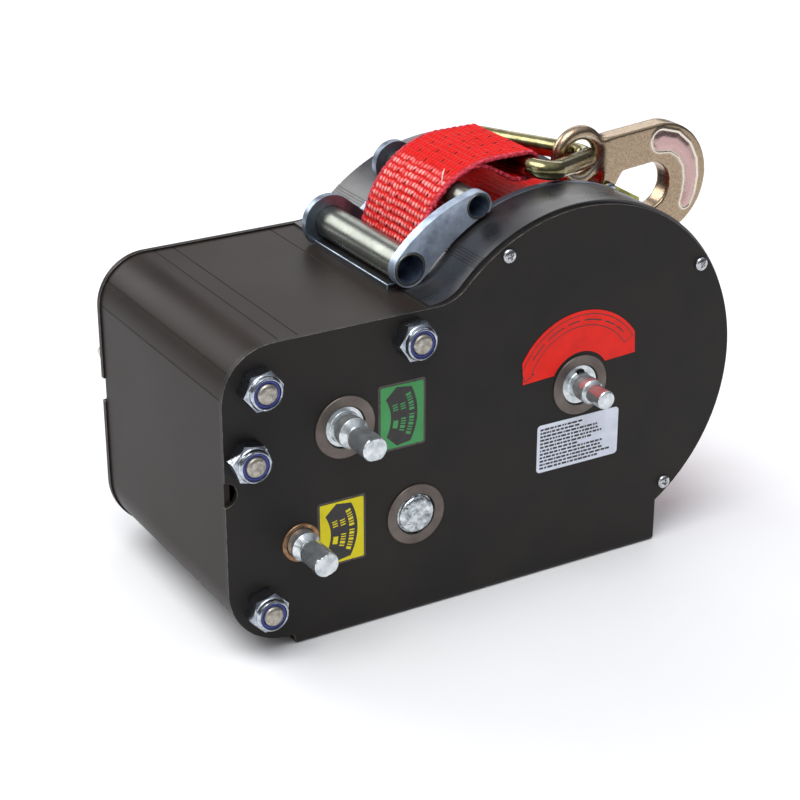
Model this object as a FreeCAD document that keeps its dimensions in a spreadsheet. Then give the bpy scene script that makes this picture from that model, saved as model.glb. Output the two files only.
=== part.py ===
"""Hand strap winch: side plates, shell, drum, geared crank shafts, strap guide, strap and hook.

Millimetres. +Z is up, +X points from the gear end to the drum end, +Y from the crank side to the back.
The origin is the centre of the four foot holes, on the underside of the feet.
"""
import FreeCAD
import Part
import math
import os

from FreeCAD import Rotation, Vector

doc = FreeCAD.newDocument("strap_winch")

# Driving sizes
SIZES = {
    "housing_width": (152.5, "between the outer faces of the two side plates"),
    "plate_sheet": (3.0, "side plate sheet"),
    "housing_length": (265.0, "gear end of the plates to their upright edge at the drum end"),
    "gear_overhang": (38.0, "plates beyond the feet at the gear end"),
    "housing_top": (170.0, "height of the plates' level top edge"),
    "skirt_height": (6.0, "height of the plates' lower edge where they have no foot"),
    "top_corner": (28.0, "radius of the upper corner at the gear end"),
    "low_corner": (34.0, "radius of the lower corner at the gear end"),
    "neck_radius": (24.0, "hollow radius where the level top meets the drum arc"),
    "drum_inset": (55.0, "drum axis from the upright edge at the drum end"),
    "drum_drop": (62.0, "drum axis below the level top edge"),
    "drum_arc": (99.5, "radius of the plates round the drum"),
    "foot_width": (24.0, "width of the foot turned in under each plate"),
    "foot_pitch_long": (170.0, "foot hole spacing along X"),
    "foot_inset": (14.0, "foot hole centre from the plate's outer face"),
    "foot_hole": (5.5, "radius of a foot hole"),
    "notch_drop": (75.4, "notch in the gear end edge, below the level top edge"),
    "notch_radius": (6.7, "radius of that notch"),
    "cheek_sheet": (4.5, "inner plate sheet"),
    "cheek_gap": (74.5, "clear width between the two inner plates"),
    "cheek_arc": (101.5, "radius of the inner plates round the drum"),
    "shell_sheet": (3.0, "wall of the end shell"),
    "shell_inset": (1.0, "shell surface inside the plates' edge"),
    "window_edge": (92.0, "drum axis to the end of the shell where the strap window starts"),
    "band_sheet": (2.0, "wall of the drum bands"),
    "band_proud": (1.7, "band surface outside the plates' drum arc"),
    "band_inset": (0.5, "band surface inside the plates' upright edge"),
    "band_level_proud": (0.2, "band surface above the plates' level top edge"),
    "sill_width": (6.0, "flat bar on the end of the shell, along X"),
    "sill_sheet": (3.2, "thickness of that bar"),
    "tie_rod": (6.0, "radius of a tie bolt"),
    "tie_rod_play": (0.25, "radial gap of a tie bolt in its holes"),
    "tie_rod_reach": (12.0, "tie bolt end beyond the front plate"),
    "tie_high_x": (19.1, "upper tie bolt from the gear end"),
    "tie_high_drop": (20.6, "upper tie bolt below the top edge"),
    "tie_mid_x": (11.9, "middle tie bolt from the gear end"),
    "tie_mid_drop": (57.6, "middle tie bolt below the top edge"),
    "tie_low_x": (19.1, "lower tie bolt from the gear end"),
    "tie_low_up": (27.7, "lower tie bolt height"),
    "tie_top_back": (104.4, "tie bolt near the neck, from the drum axis towards the gear end"),
    "tie_top_drop": (13.0, "tie bolt near the neck, below the top edge"),
    "nut_flats": (19.0, "across flats of a tie bolt nut"),
    "nut_hex": (8.6, "height of a lock nut's six-sided part"),
    "nut_collar": (8.7, "radius of a lock nut's round end"),
    "nut_height": (12.0, "height of a lock nut with its round end"),
    "bolt_head": (7.5, "height of a tie bolt head"),
    "bolt_dome": (1.2, "height of the domed end of a tie bolt"),
    "ring_outer": (17.0, "outer radius of a bearing ring"),
    "ring_depth": (9.0, "length of a bearing ring"),
    "ring_proud": (1.0, "bearing ring outside the plate"),
    "bush_outer": (10.6, "outer radius of the bronze bush"),
    "running_gap": (0.08, "radial gap of a shaft in its ring"),
    "end_gap": (1.0, "gap between shaft ends that share an axis"),
    "upper_shaft_in": (67.3, "upper crank shaft from the gear end"),
    "upper_shaft_drop": (53.5, "upper crank shaft below the level top edge"),
    "lower_shaft_in": (41.1, "lower crank shaft from the gear end"),
    "lower_shaft_up": (58.5, "lower crank shaft height"),
    "middle_shaft_back": (101.5, "middle shaft from the drum axis, towards the gear end"),
    "middle_shaft_up": (57.2, "middle shaft height"),
    "shaft_journal": (11.0, "radius of a shaft in its ring"),
    "bush_journal": (8.0, "radius of the lower shaft in its bush"),
    "crank_collar": (8.4, "radius of the round collar before the upper crank end"),
    "crank_waist": (5.3, "radius of the waist behind a crank end"),
    "crank_end": (6.7, "radius of a crank end"),
    "crank_flats": (11.3, "across the two flats of a crank end"),
    "crank_end_length": (16.5, "length of a crank end"),
    "crank_waist_length": (5.5, "length of the waist"),
    "upper_flats_turn": (0.0, "turn of the upper crank end's flats from level, degrees"),
    "lower_flats_turn": (20.0, "turn of the lower crank end's flats from level, degrees"),
    "upper_crank_reach": (31.3, "upper crank end beyond the front plate"),
    "lower_crank_reach": (28.4, "lower crank end beyond the front plate"),
    "middle_shaft_reach": (2.8, "middle shaft end beyond the front plate"),
    "middle_shaft_end": (10.2, "radius of the peened end of the middle shaft"),
    "release_step": (7.0, "radius of the release shaft next to the plate"),
    "release_step_reach": (12.0, "where the release shaft steps down, beyond the plate"),
    "release_end": (5.2, "radius of the release shaft end"),
    "release_reach": (25.2, "release shaft end beyond the front plate"),
    "drum_shaft": (11.0, "radius of the drum shaft"),
    "drum_core": (24.0, "radius of the drum barrel"),
    "drum_side_gap": (0.6, "gap between barrel and inner plate"),
    "coil_radius": (91.2, "radius of the wound strap"),
    "strap_width": (58.0, "strap width"),
    "strap_sheet": (2.6, "strap thickness"),
    "soft_gap": (0.3, "gap between the strap and what it lies on"),
    "strap_bend": (48.0, "bend radius of the strap over the upper tube"),
    "strap_leave_angle": (161.0, "polar angle where the strap leaves the coil"),
    "strap_lap": (33.0, "sewn end of the strap from the link's base bar"),
    "low_tube_back": (87.9, "lower guide tube from the drum axis, towards the gear end"),
    "low_tube_rise": (72.6, "lower guide tube above the drum axis"),
    "low_tube": (9.0, "outer radius of the lower guide tube"),
    "low_tube_bore": (7.6, "bore radius of the lower guide tube"),
    "high_tube_back": (47.2, "upper guide tube from the drum axis, towards the gear end"),
    "high_tube_rise": (99.4, "upper guide tube above the drum axis"),
    "high_tube": (7.0, "outer radius of the upper guide tube"),
    "high_tube_bore": (5.8, "bore radius of the upper guide tube"),
    "tube_fit": (0.05, "radial gap of the guide tubes in the arm and the ear"),
    "arm_sheet": (6.0, "thickness of the front guide arm"),
    "arm_inner": (103.7, "inner radius of the front guide arm about the drum axis"),
    "arm_low_end": (10.0, "end radius of the front arm at the lower tube"),
    "arm_high_end": (8.0, "end radius of the front arm at the upper tube"),
    "ear_low": (15.3, "radius of the rear ear round the lower tube"),
    "ear_high": (12.3, "radius of the rear ear round the upper tube"),
    "link_bar": (5.25, "radius of the link's round bar"),
    "link_back": (5.0, "link base bar from the drum axis, towards the gear end"),
    "link_clear": (2.45, "gap between the inner plates' arc and the link's base bar"),
    "link_half_width": (46.0, "half the link's base, to the sharp corner"),
    "link_height": (65.4, "base bar to the sharp apex"),
    "link_tilt": (10.8, "slope of the link below level, degrees"),
    "link_corner": (9.0, "bend radius at the link's corners"),
    "link_apex": (10.0, "bend radius at the link's apex"),
    "eye_play": (0.1, "gap between the eye and the link bar"),
    "eye_hole": (9.3, "radius of the hook's eye hole"),
    "eye_section": (4.2, "section radius of the eye"),
    "hook_thickness": (12.0, "thickness of the forged hook"),
    "shank_length": (51.1, "eye centre to bowl centre"),
    "shank_tilt": (27.0, "slope of that line below level, degrees"),
    "bowl_inner": (13.9, "inside radius of the hook's bowl"),
    "bowl_outer": (34.5, "outside radius of the hook's bowl"),
    "bowl_shift": (5.5, "outside arc centre beyond the bowl centre, along X"),
    "tip_back": (11.5, "hook tip before the bowl centre, along X"),
    "tip_drop": (18.8, "hook tip below the bowl centre"),
    "tip_radius": (4.5, "radius of the hook's tip"),
    "pivot_along": (16.5, "latch rivet beyond the eye centre, along X"),
    "pivot_drop": (20.0, "latch rivet below the eye centre"),
    "lug_radius": (5.5, "radius of the hook's lug round the rivet"),
    "latch_sheet": (1.5, "latch sheet"),
    "latch_low": (4.5, "latch web's outside below the rivet line"),
    "latch_high": (3.5, "latch side above the rivet line"),
    "latch_length": (26.5, "rivet to the free end of the latch"),
    "latch_web_start": (8.5, "rivet to the start of the latch web"),
    "latch_side_gap": (0.3, "gap between the hook and each latch side"),
    "rivet": (2.6, "radius of the latch rivet"),
    "rivet_head": (4.0, "radius of the rivet's heads"),
    "label_sheet": (0.3, "thickness of a label"),
    "label_wide": (25.2, "width of the green and the yellow label"),
    "label_tall": (34.4, "height of the green and the yellow label"),
    "green_label_off": (20.4, "green label beyond the upper crank shaft"),
    "green_label_drop": (18.4, "lower edge of the green label below that shaft"),
    "yellow_label_off": (11.1, "yellow label beyond the lower crank shaft"),
    "yellow_label_drop": (17.2, "lower edge of the yellow label below that shaft"),
    "data_label_back": (26.3, "data label's start before the drum axis"),
    "data_label_drop": (46.5, "lower edge of the data label below the drum axis"),
    "data_label_wide": (52.7, "width of the data label"),
    "data_label_tall": (27.8, "height of the data label"),
    "dial_radius": (42.0, "radius of the red label round the drum axis"),
    "dial_chord": (9.5, "lower edge of the red label above the drum axis"),
    "dial_side": (36.0, "half the length of that lower edge"),
    "dial_tilt": (3.0, "tilt of the red label, degrees"),
    "screw_circle": (94.0, "cover screws from the drum axis"),
    "screw_head": (4.0, "radius of a cover screw head"),
    "screw_head_height": (2.6, "height of a cover screw head"),
    "screw_shank": (2.0, "radius of a cover screw shank"),
}

sheet = doc.addObject("Spreadsheet::Sheet", "sizes")
for row, (alias, (value, meaning)) in enumerate(SIZES.items(), start=1):
    sheet.set(f"A{row}", alias)
    sheet.set(f"B{row}", str(value))
    sheet.set(f"C{row}", meaning)
    sheet.setAlias(f"B{row}", alias)
doc.recompute()


def size(alias):
    """Value of a driving size."""
    return float(sheet.get(alias))


def bind(thing, **expressions):
    """Tie properties of an object to the sheet; place_x, place_y and place_z are its position."""
    places = {"place_x": "Placement.Base.x", "place_y": "Placement.Base.y", "place_z": "Placement.Base.z"}
    for prop, expression in expressions.items():
        thing.setExpression(places.get(prop, prop), expression)


# Words used in many expressions
FRONT = "-sizes.housing_width / 2"
BACK = "sizes.housing_width / 2"
CHEEK_OUT = "(sizes.cheek_gap / 2 + sizes.cheek_sheet)"
GEAR_END = "-(sizes.housing_length + sizes.gear_overhang) / 2"
DRUM_X = "((sizes.housing_length - sizes.gear_overhang) / 2 - sizes.drum_inset)"
DRUM_UP = "(sizes.housing_top - sizes.drum_drop)"
UPPER_SHAFT = (f"({GEAR_END} + sizes.upper_shaft_in)", "(sizes.housing_top - sizes.upper_shaft_drop)")
LOWER_SHAFT = (f"({GEAR_END} + sizes.lower_shaft_in)", "sizes.lower_shaft_up")
MIDDLE_SHAFT = (f"({DRUM_X} - sizes.middle_shaft_back)", "sizes.middle_shaft_up")

# The same places as numbers, for outlines
front_face = -size("housing_width") / 2
cheek_out = size("cheek_gap") / 2 + size("cheek_sheet")
left_edge = -(size("housing_length") + size("gear_overhang")) / 2
drum_end = (size("housing_length") - size("gear_overhang")) / 2
drum_axis = Vector(drum_end - size("drum_inset"), 0, size("housing_top") - size("drum_drop"))
foot_length = size("housing_length") - size("gear_overhang")
window_start = drum_axis.x - size("window_edge")
TIE_RODS = (
    (left_edge + size("tie_high_x"), size("housing_top") - size("tie_high_drop")),
    (left_edge + size("tie_mid_x"), size("housing_top") - size("tie_mid_drop")),
    (left_edge + size("tie_low_x"), size("tie_low_up")),
    (drum_axis.x - size("tie_top_back"), size("housing_top") - size("tie_top_drop")),
)
SCREW_ANGLES = (120.0, 35.0, -50.5)
SIDEWAYS = Vector(0, 1, 0)

nodes = {}


def keep(name, thing):
    """List an object as a sub-part of the winch."""
    thing.Label = name
    nodes[name] = thing
    return thing


def along_y(name, radius, length, x, y, z):
    """Cylinder along +Y from the point x, y, z; every argument is an expression."""
    bar = doc.addObject("Part::Cylinder", name)
    bar.Placement.Rotation = Rotation(Vector(1, 0, 0), -90)
    bind(bar, Radius=radius, Height=length, place_x=x, place_y=y, place_z=z)
    return bar


def cone(name, first_radius, last_radius, length, x, y, z):
    """Cone along +Y that starts with the first radius."""
    taper = doc.addObject("Part::Cone", name)
    taper.Placement.Rotation = Rotation(Vector(1, 0, 0), -90)
    bind(taper, Radius1=first_radius, Radius2=last_radius, Height=length, place_x=x, place_y=y, place_z=z)
    return taper


def hexagon(name, flats, length, x, y, z):
    """Six-sided prism along +Y."""
    prism = doc.addObject("Part::Prism", name)
    prism.Polygon = 6
    prism.Placement.Rotation = Rotation(Vector(1, 0, 0), -90)
    bind(prism, Circumradius=f"({flats}) / sqrt(3)", Height=length, place_x=x, place_y=y, place_z=z)
    return prism


def fuse(name, *things):
    joined = doc.addObject("Part::MultiFuse", name)
    joined.Shapes = list(things)
    return joined


def cut(name, base, *tools):
    """Base less one tool or more."""
    tool = tools[0] if len(tools) == 1 else fuse(name + "_cutters", *tools)
    result = doc.addObject("Part::Cut", name)
    result.Base = base
    result.Tool = tool
    return result


def group(name, things):
    """Several solids that don't touch, as one sub-part."""
    compound = doc.addObject("Part::Compound", name)
    compound.Links = list(things)
    return compound


def shaped(name, shape):
    """Object that holds a shape worked out from the sheet."""
    holder = doc.addObject("Part::Feature", name)
    holder.Shape = shape
    return holder


def xz(x, z, y=0.0):
    return Vector(x, y, z)


def polar(radius, degrees, centre=drum_axis):
    turn = math.radians(degrees)
    return centre + Vector(radius * math.cos(turn), 0, radius * math.sin(turn))


def arc(start, middle, end):
    return Part.Arc(start, middle, end).toShape()


def line(start, end):
    return Part.LineSegment(start, end).toShape()


def slab(edges, y_low, y_high):
    """Solid between two Y values whose side view is a closed run of edges."""
    face = Part.Face(Part.Wire(edges))
    face.translate(Vector(0, y_low, 0))
    return face.extrude(Vector(0, y_high - y_low, 0))


def rod(radius, spot, y_low, y_high):
    """Plain round bar along Y between two Y values."""
    return Part.makeCylinder(radius, y_high - y_low, Vector(spot.x, y_low, spot.z), SIDEWAYS)


def neck(arc_radius, top):
    """Hollow fillet between the level top and the drum arc: centre, start on top, end on the arc."""
    radius = size("neck_radius")
    rise = top + radius - drum_axis.z
    centre = xz(drum_axis.x - math.sqrt((arc_radius + radius) ** 2 - rise ** 2), top + radius)
    end = drum_axis + (centre - drum_axis).normalize() * arc_radius
    return centre, xz(centre.x, top), end


def bulge(centre, radius, start, end):
    """Arc from start to end round a centre, on the near side of both."""
    middle = centre + ((start + end) * 0.5 - centre).normalize() * radius
    return arc(start, middle, end)


def plate_outline():
    """Side view of a side plate, from the lower gear end corner round by the top."""
    low, top = size("skirt_height"), size("housing_top")
    low_r, top_r = size("low_corner"), size("top_corner")
    right, foot_start = drum_end, drum_end - foot_length
    reach, notch, notch_up = size("drum_arc"), size("notch_radius"), top - size("notch_drop")
    neck_centre, neck_start, neck_end = neck(reach, top)
    arc_foot = xz(right, drum_axis.z - math.sqrt(reach ** 2 - (right - drum_axis.x) ** 2))
    low_centre, top_centre = xz(left_edge + low_r, low + low_r), xz(left_edge + top_r, top - top_r)
    notch_low, notch_high = xz(left_edge, notch_up - notch), xz(left_edge, notch_up + notch)
    return [
        line(xz(foot_start, 0), xz(foot_start - 2, low)),
        line(xz(foot_start - 2, low), xz(low_centre.x, low)),
        bulge(low_centre, low_r, xz(low_centre.x, low), xz(left_edge, low_centre.z)),
        line(xz(left_edge, low_centre.z), notch_low),
        arc(notch_low, xz(left_edge + notch, notch_up), notch_high),
        line(notch_high, xz(left_edge, top_centre.z)),
        bulge(top_centre, top_r, xz(left_edge, top_centre.z), xz(top_centre.x, top)),
        line(xz(top_centre.x, top), neck_start),
        bulge(neck_centre, size("neck_radius"), neck_start, neck_end),
        arc(neck_end, polar(reach, 20), arc_foot),
        line(arc_foot, xz(right, 0)),
        line(xz(right, 0), xz(foot_start, 0)),
    ]


def plate_holes(y_low, y_high, bores):
    """Cutters along Y through a plate: tie bolts and the given round bores."""
    holes = [(x, z, size("tie_rod") + size("tie_rod_play")) for x, z in TIE_RODS] + bores
    return Part.makeCompound([rod(radius, xz(x, z), y_low - 1, y_high + 1) for x, z, radius in holes])


def shaft_places():
    """Upper, middle and drum axes, which have the large rings, then the bush axis."""
    return (
        (left_edge + size("upper_shaft_in"), size("housing_top") - size("upper_shaft_drop")),
        (drum_axis.x - size("middle_shaft_back"), size("middle_shaft_up")),
        (drum_axis.x, drum_axis.z),
        (left_edge + size("lower_shaft_in"), size("lower_shaft_up")),
    )


def side_plate(name, side):
    """Front plate for side -1, rear plate for side 1, with its foot turned inwards."""
    outer, inner = side * size("housing_width") / 2, side * (size("housing_width") / 2 - size("plate_sheet"))
    low, high = sorted((outer, inner))
    plate = slab(plate_outline(), low, high)
    foot_low = min(outer, outer - side * size("foot_width"))
    foot = Part.makeBox(foot_length, size("foot_width"), size("plate_sheet"),
                        Vector(drum_end - foot_length, foot_low, 0))
    plate = plate.fuse(foot).removeSplitter()
    bend = [
        edge for edge in plate.Edges
        if abs(edge.BoundBox.ZMax) < 0.01 and edge.BoundBox.YLength < 0.01
        and abs(edge.BoundBox.YMin - outer) < 0.01
    ]
    plate = plate.makeFillet(size("plate_sheet") * 0.9, bend)
    bores = [(x, z, size("ring_outer")) for x, z in shaft_places()[:3]]
    bores.append((*shaft_places()[3], size("bush_outer")))
    plate = plate.cut(plate_holes(low, high, bores))
    hole_y = outer - side * size("foot_inset")
    for x in (-size("foot_pitch_long") / 2, size("foot_pitch_long") / 2):
        plate = plate.cut(Part.makeCylinder(size("foot_hole"), 3 * size("plate_sheet"), Vector(x, hole_y, -1)))
    for angle in SCREW_ANGLES:
        plate = plate.cut(rod(size("screw_shank") + 0.1, polar(size("screw_circle"), angle), low - 1, high + 1))
    return keep(name, shaped(name, plate))


def cheek_plate(name, side):
    """Inner plate beside the drum; the rear one has two ears that hold the guide tubes."""
    inner, outer = side * size("cheek_gap") / 2, side * cheek_out
    low, high = sorted((inner, outer))
    edge_gap = size("shell_inset") + size("shell_sheet") + 0.3
    left, floor = left_edge + edge_gap, size("skirt_height") + edge_gap
    ceiling = size("housing_top") - edge_gap
    block = Part.makeBox(drum_end - size("band_sheet") - size("band_inset") - left, high - low, ceiling - floor,
                         Vector(left, low, floor))
    for corner, is_corner in (
        ("top_corner", lambda box: box.ZMin > (floor + ceiling) / 2),
        ("low_corner", lambda box: box.ZMax < (floor + ceiling) / 2),
    ):
        ends = [e for e in block.Edges if e.BoundBox.YLength > 1 and e.BoundBox.XMax < left + 1
                and e.BoundBox.ZLength < 1 and is_corner(e.BoundBox)]
        block = block.makeFillet(size(corner) - edge_gap, ends)
    plate = block.fuse(rod(size("cheek_arc"), drum_axis, low, high))
    if side > 0:
        low_tube, high_tube = guide_places()
        plate = plate.fuse(guide_ear(low_tube, size("ear_low"), low, high))
        plate = plate.fuse(guide_ear(high_tube, size("ear_high"), low, high))
        plate = plate.cut(tube_cutters(low, high))
    plate = plate.removeSplitter()
    gap = size("running_gap")
    bores = [(x, z, size("shaft_journal") + gap) for x, z in shaft_places()[:2]]
    bores.append((drum_axis.x, drum_axis.z, size("drum_shaft") + gap))
    bores.append((*shaft_places()[3], size("bush_journal") + gap))
    plate = plate.cut(plate_holes(low, high, bores))
    return keep(name, shaped(name, plate))


def tube_cutters(y_low, y_high):
    """Both guide tubes as cutters through a plate."""
    low_tube, high_tube = guide_places()
    return Part.makeCompound([
        rod(size("low_tube") + size("tube_fit"), low_tube, y_low - 1, y_high + 1),
        rod(size("high_tube") + size("tube_fit"), high_tube, y_low - 1, y_high + 1),
    ])


def guide_places():
    low_tube = drum_axis + Vector(-size("low_tube_back"), 0, size("low_tube_rise"))
    high_tube = drum_axis + Vector(-size("high_tube_back"), 0, size("high_tube_rise"))
    return low_tube, high_tube


def guide_ear(tube, radius, low, high):
    """Ear of the rear inner plate: a round end on a straight root that runs down to the drum arc."""
    round_end = rod(radius, tube, low, high)
    towards = (drum_axis - tube).normalize()
    across = Vector(-towards.z, 0, towards.x)
    root = drum_axis - towards * (size("cheek_arc") - 6)
    corners = [tube + across * radius, root + across * radius, root - across * radius, tube - across * radius]
    edges = [line(corners[i], corners[(i + 1) % 4]) for i in range(4)]
    ear = round_end.fuse(slab(edges, low, high))
    surface = size("housing_top") + size("soft_gap")
    shell_length = window_start - left_edge
    trim = Part.makeBox(shell_length, high - low + 2, surface, Vector(left_edge, low - 1, 0))
    return ear.cut(trim)


def end_shell():
    """Extruded shell round the gear end, open towards the drum."""
    inset, wall = size("shell_inset"), size("shell_sheet")
    top, low = size("housing_top") - inset, size("skirt_height") + inset
    left, mouth = left_edge + inset, window_start
    top_r, low_r = size("top_corner") - inset, size("low_corner") - inset
    outside = shell_edges(left, low, top, top_r, low_r, mouth)
    inside = shell_edges(left + wall, low + wall, top - wall, top_r - wall, low_r - wall, mouth)
    ends = [line(xz(mouth, low), xz(mouth, low + wall)), line(xz(mouth, top - wall), xz(mouth, top))]
    half = size("housing_width") / 2 - size("plate_sheet")
    profile = slab(Part.sortEdges(outside + inside + ends)[0], -half, half)
    return keep("end_shell", shaped("end_shell", profile))


def shell_edges(left, low, top, top_r, low_r, mouth):
    top_centre, low_centre = xz(left + top_r, top - top_r), xz(left + low_r, low + low_r)
    return [
        line(xz(mouth, low), xz(low_centre.x, low)),
        bulge(low_centre, low_r, xz(low_centre.x, low), xz(left, low_centre.z)),
        line(xz(left, low_centre.z), xz(left, top_centre.z)),
        bulge(top_centre, top_r, xz(left, top_centre.z), xz(top_centre.x, top)),
        line(xz(top_centre.x, top), xz(mouth, top)),
    ]


def band_edges(reach, top, right):
    neck_centre, neck_start, neck_end = neck(reach, top)
    foot = xz(right, drum_axis.z - math.sqrt(reach ** 2 - (right - drum_axis.x) ** 2))
    floor = size("plate_sheet") + size("soft_gap")
    start = xz(window_start + size("soft_gap"), top)
    return [
        line(start, neck_start),
        bulge(neck_centre, size("neck_radius"), neck_start, neck_end),
        arc(neck_end, polar(reach, 20), foot),
        line(foot, xz(right, floor)),
    ], start, xz(right, floor)


def drum_band(name, side):
    """Band that closes the gap between a side plate and its inner plate, round the drum."""
    outside_reach = size("drum_arc") + size("band_proud")
    wall = size("band_sheet")
    top = size("housing_top") + size("band_level_proud")
    right = drum_end - size("band_inset")
    outer, outer_start, outer_end = band_edges(outside_reach, top, right)
    inner, inner_start, inner_end = band_edges(outside_reach - wall, top - wall, right - wall)
    edges = outer + inner + [line(outer_start, inner_start), line(outer_end, inner_end)]
    low, high = sorted((side * cheek_out, side * (size("housing_width") / 2 - size("plate_sheet"))))
    return keep(name, shaped(name, slab(Part.sortEdges(edges)[0], low, high)))


def bearing_rings():
    """Ring in each side plate for the upper, middle and drum axes, and a bush for the lower shaft."""
    names = ("upper_shaft_rings", "middle_shaft_rings", "drum_axis_rings", "lower_shaft_bushes")
    axes = (UPPER_SHAFT, MIDDLE_SHAFT, (DRUM_X, DRUM_UP), LOWER_SHAFT)
    for name, (x, z) in zip(names, axes):
        bush = name == "lower_shaft_bushes"
        outer = "sizes.bush_outer" if bush else "sizes.ring_outer"
        bore = "sizes.bush_journal + sizes.running_gap" if bush else "sizes.shaft_journal + sizes.running_gap"
        pair = []
        for end, y in (("front", f"{FRONT} - sizes.ring_proud"), ("rear", f"{BACK} + sizes.ring_proud - sizes.ring_depth")):
            body = along_y(f"{name}_{end}", outer, "sizes.ring_depth", x, y, z)
            hole = along_y(f"{name}_{end}_bore", bore, "sizes.ring_depth + 2", x, f"{y} - 1", z)
            pair.append(cut(f"{name}_{end}_ring", body, hole))
        keep(name, group(name, pair))


def tie_bolts():
    """Four bolts through the whole housing, heads at the back, lock nuts at the front."""
    bolts, nuts = [], []
    for number, (x, z) in enumerate(TIE_RODS, start=1):
        shank = along_y(f"tie_shank_{number}", "sizes.tie_rod", "sizes.housing_width + sizes.tie_rod_reach",
                        str(x), f"{FRONT} - sizes.tie_rod_reach", str(z))
        head = hexagon(f"tie_head_{number}", "sizes.nut_flats", "sizes.bolt_head", str(x), BACK, str(z))
        dome = cone(f"tie_dome_{number}", "sizes.tie_rod * 0.7", "sizes.tie_rod", "sizes.bolt_dome",
                    str(x), f"{FRONT} - sizes.tie_rod_reach - sizes.bolt_dome", str(z))
        bolts.append(fuse(f"tie_bolt_{number}", shank, head, dome))
        block = hexagon(f"nut_block_{number}", "sizes.nut_flats", "sizes.nut_hex", str(x),
                        f"{FRONT} - sizes.nut_hex", str(z))
        collar = along_y(f"nut_collar_{number}", "sizes.nut_collar", "sizes.nut_height", str(x),
                         f"{FRONT} - sizes.nut_height", str(z))
        bore = along_y(f"nut_bore_{number}", "sizes.tie_rod + 0.05", "sizes.nut_height + 2", str(x),
                       f"{FRONT} - sizes.nut_height - 1", str(z))
        nuts.append(cut(f"lock_nut_{number}", fuse(f"nut_blank_{number}", block, collar), bore))
    keep("tie_bolts", group("tie_bolts", bolts))
    keep("lock_nuts", group("lock_nuts", nuts))


def cover_screws(name, side):
    """Pan-head screws on a circle round the drum axis."""
    screws = []
    for angle in SCREW_ANGLES:
        spot = polar(size("screw_circle"), angle)
        face = side * size("housing_width") / 2
        outward = Vector(0, side, 0)
        start = Vector(spot.x, face, spot.z)
        head = Part.makeCylinder(size("screw_head"), size("screw_head_height"), start, outward)
        rim = [e for e in head.Edges if abs(e.BoundBox.YMax - e.BoundBox.YMin) < 0.01
               and abs(e.BoundBox.YMin - face) > 1]
        head = head.makeFillet(size("screw_head_height") * 0.6, rim)
        shank = Part.makeCylinder(size("screw_shank"), 2 * size("plate_sheet"), start, outward * -1)
        screws.append(head.fuse(shank))
    keep(name, shaped(name, Part.makeCompound(screws)))


def crank_shaft(name, axis_x, axis_up, journal, collar, reach, turn):
    """Shaft through the housing with a collar, a waist and a crank end with two flats at the front."""
    stage = f"{FRONT} - {reach} + sizes.crank_end_length"
    waist = f"{stage} + sizes.crank_waist_length"
    pieces = [
        along_y(f"{name}_journal", journal, "sizes.housing_width", axis_x, FRONT, axis_up),
        along_y(f"{name}_collar", collar, f"{reach} - sizes.crank_end_length - sizes.crank_waist_length + 1",
                axis_x, waist, axis_up),
        cone(f"{name}_taper", "sizes.crank_waist", collar, "sizes.crank_waist_length / 2 + 0.2",
             axis_x, f"{stage} + sizes.crank_waist_length / 2 - 0.2", axis_up),
        cone(f"{name}_flare", "sizes.crank_end", "sizes.crank_waist", "sizes.crank_waist_length / 2",
             axis_x, stage, axis_up),
        crank_end(name, axis_x, axis_up, reach, turn),
    ]
    return keep(name, fuse(name, *pieces))


def crank_end(name, axis_x, axis_up, reach, turn):
    """Round bar with two flats and a chamfered tip."""
    bar = along_y(f"{name}_bar", "sizes.crank_end", "sizes.crank_end_length - 0.8",
                  axis_x, f"{FRONT} - {reach} + 0.8", axis_up)
    tip = cone(f"{name}_tip", "sizes.crank_end - 0.8", "sizes.crank_end", "0.8", axis_x, f"{FRONT} - {reach}", axis_up)
    gauge = doc.addObject("Part::Box", f"{name}_gauge")
    bind(gauge, Length="4 * sizes.crank_end", Width="sizes.crank_end_length", Height="sizes.crank_flats")
    angle = math.radians(turn)
    half_long, half_tall = 2 * size("crank_end"), size("crank_flats") / 2
    corner_x = -half_long * math.cos(angle) + half_tall * math.sin(angle)
    corner_z = -half_long * math.sin(angle) - half_tall * math.cos(angle)
    gauge.Placement.Rotation = Rotation(Vector(0, -1, 0), turn)
    bind(gauge, place_x=f"{axis_x} + {corner_x}", place_y=f"{FRONT} - {reach}", place_z=f"{axis_up} + {corner_z}")
    flats = doc.addObject("Part::MultiCommon", f"{name}_flats")
    flats.Shapes = [fuse(f"{name}_round_end", bar, tip), gauge]
    return flats


def middle_shaft():
    """Shaft through the housing, peened over at the front."""
    x, z = MIDDLE_SHAFT
    journal = along_y("middle_journal", "sizes.shaft_journal", "sizes.housing_width", x, FRONT, z)
    end = along_y("middle_end", "sizes.middle_shaft_end", "sizes.middle_shaft_reach + 1",
                  x, f"{FRONT} - sizes.middle_shaft_reach", z)
    return keep("middle_shaft", fuse("middle_shaft", journal, end))


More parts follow.
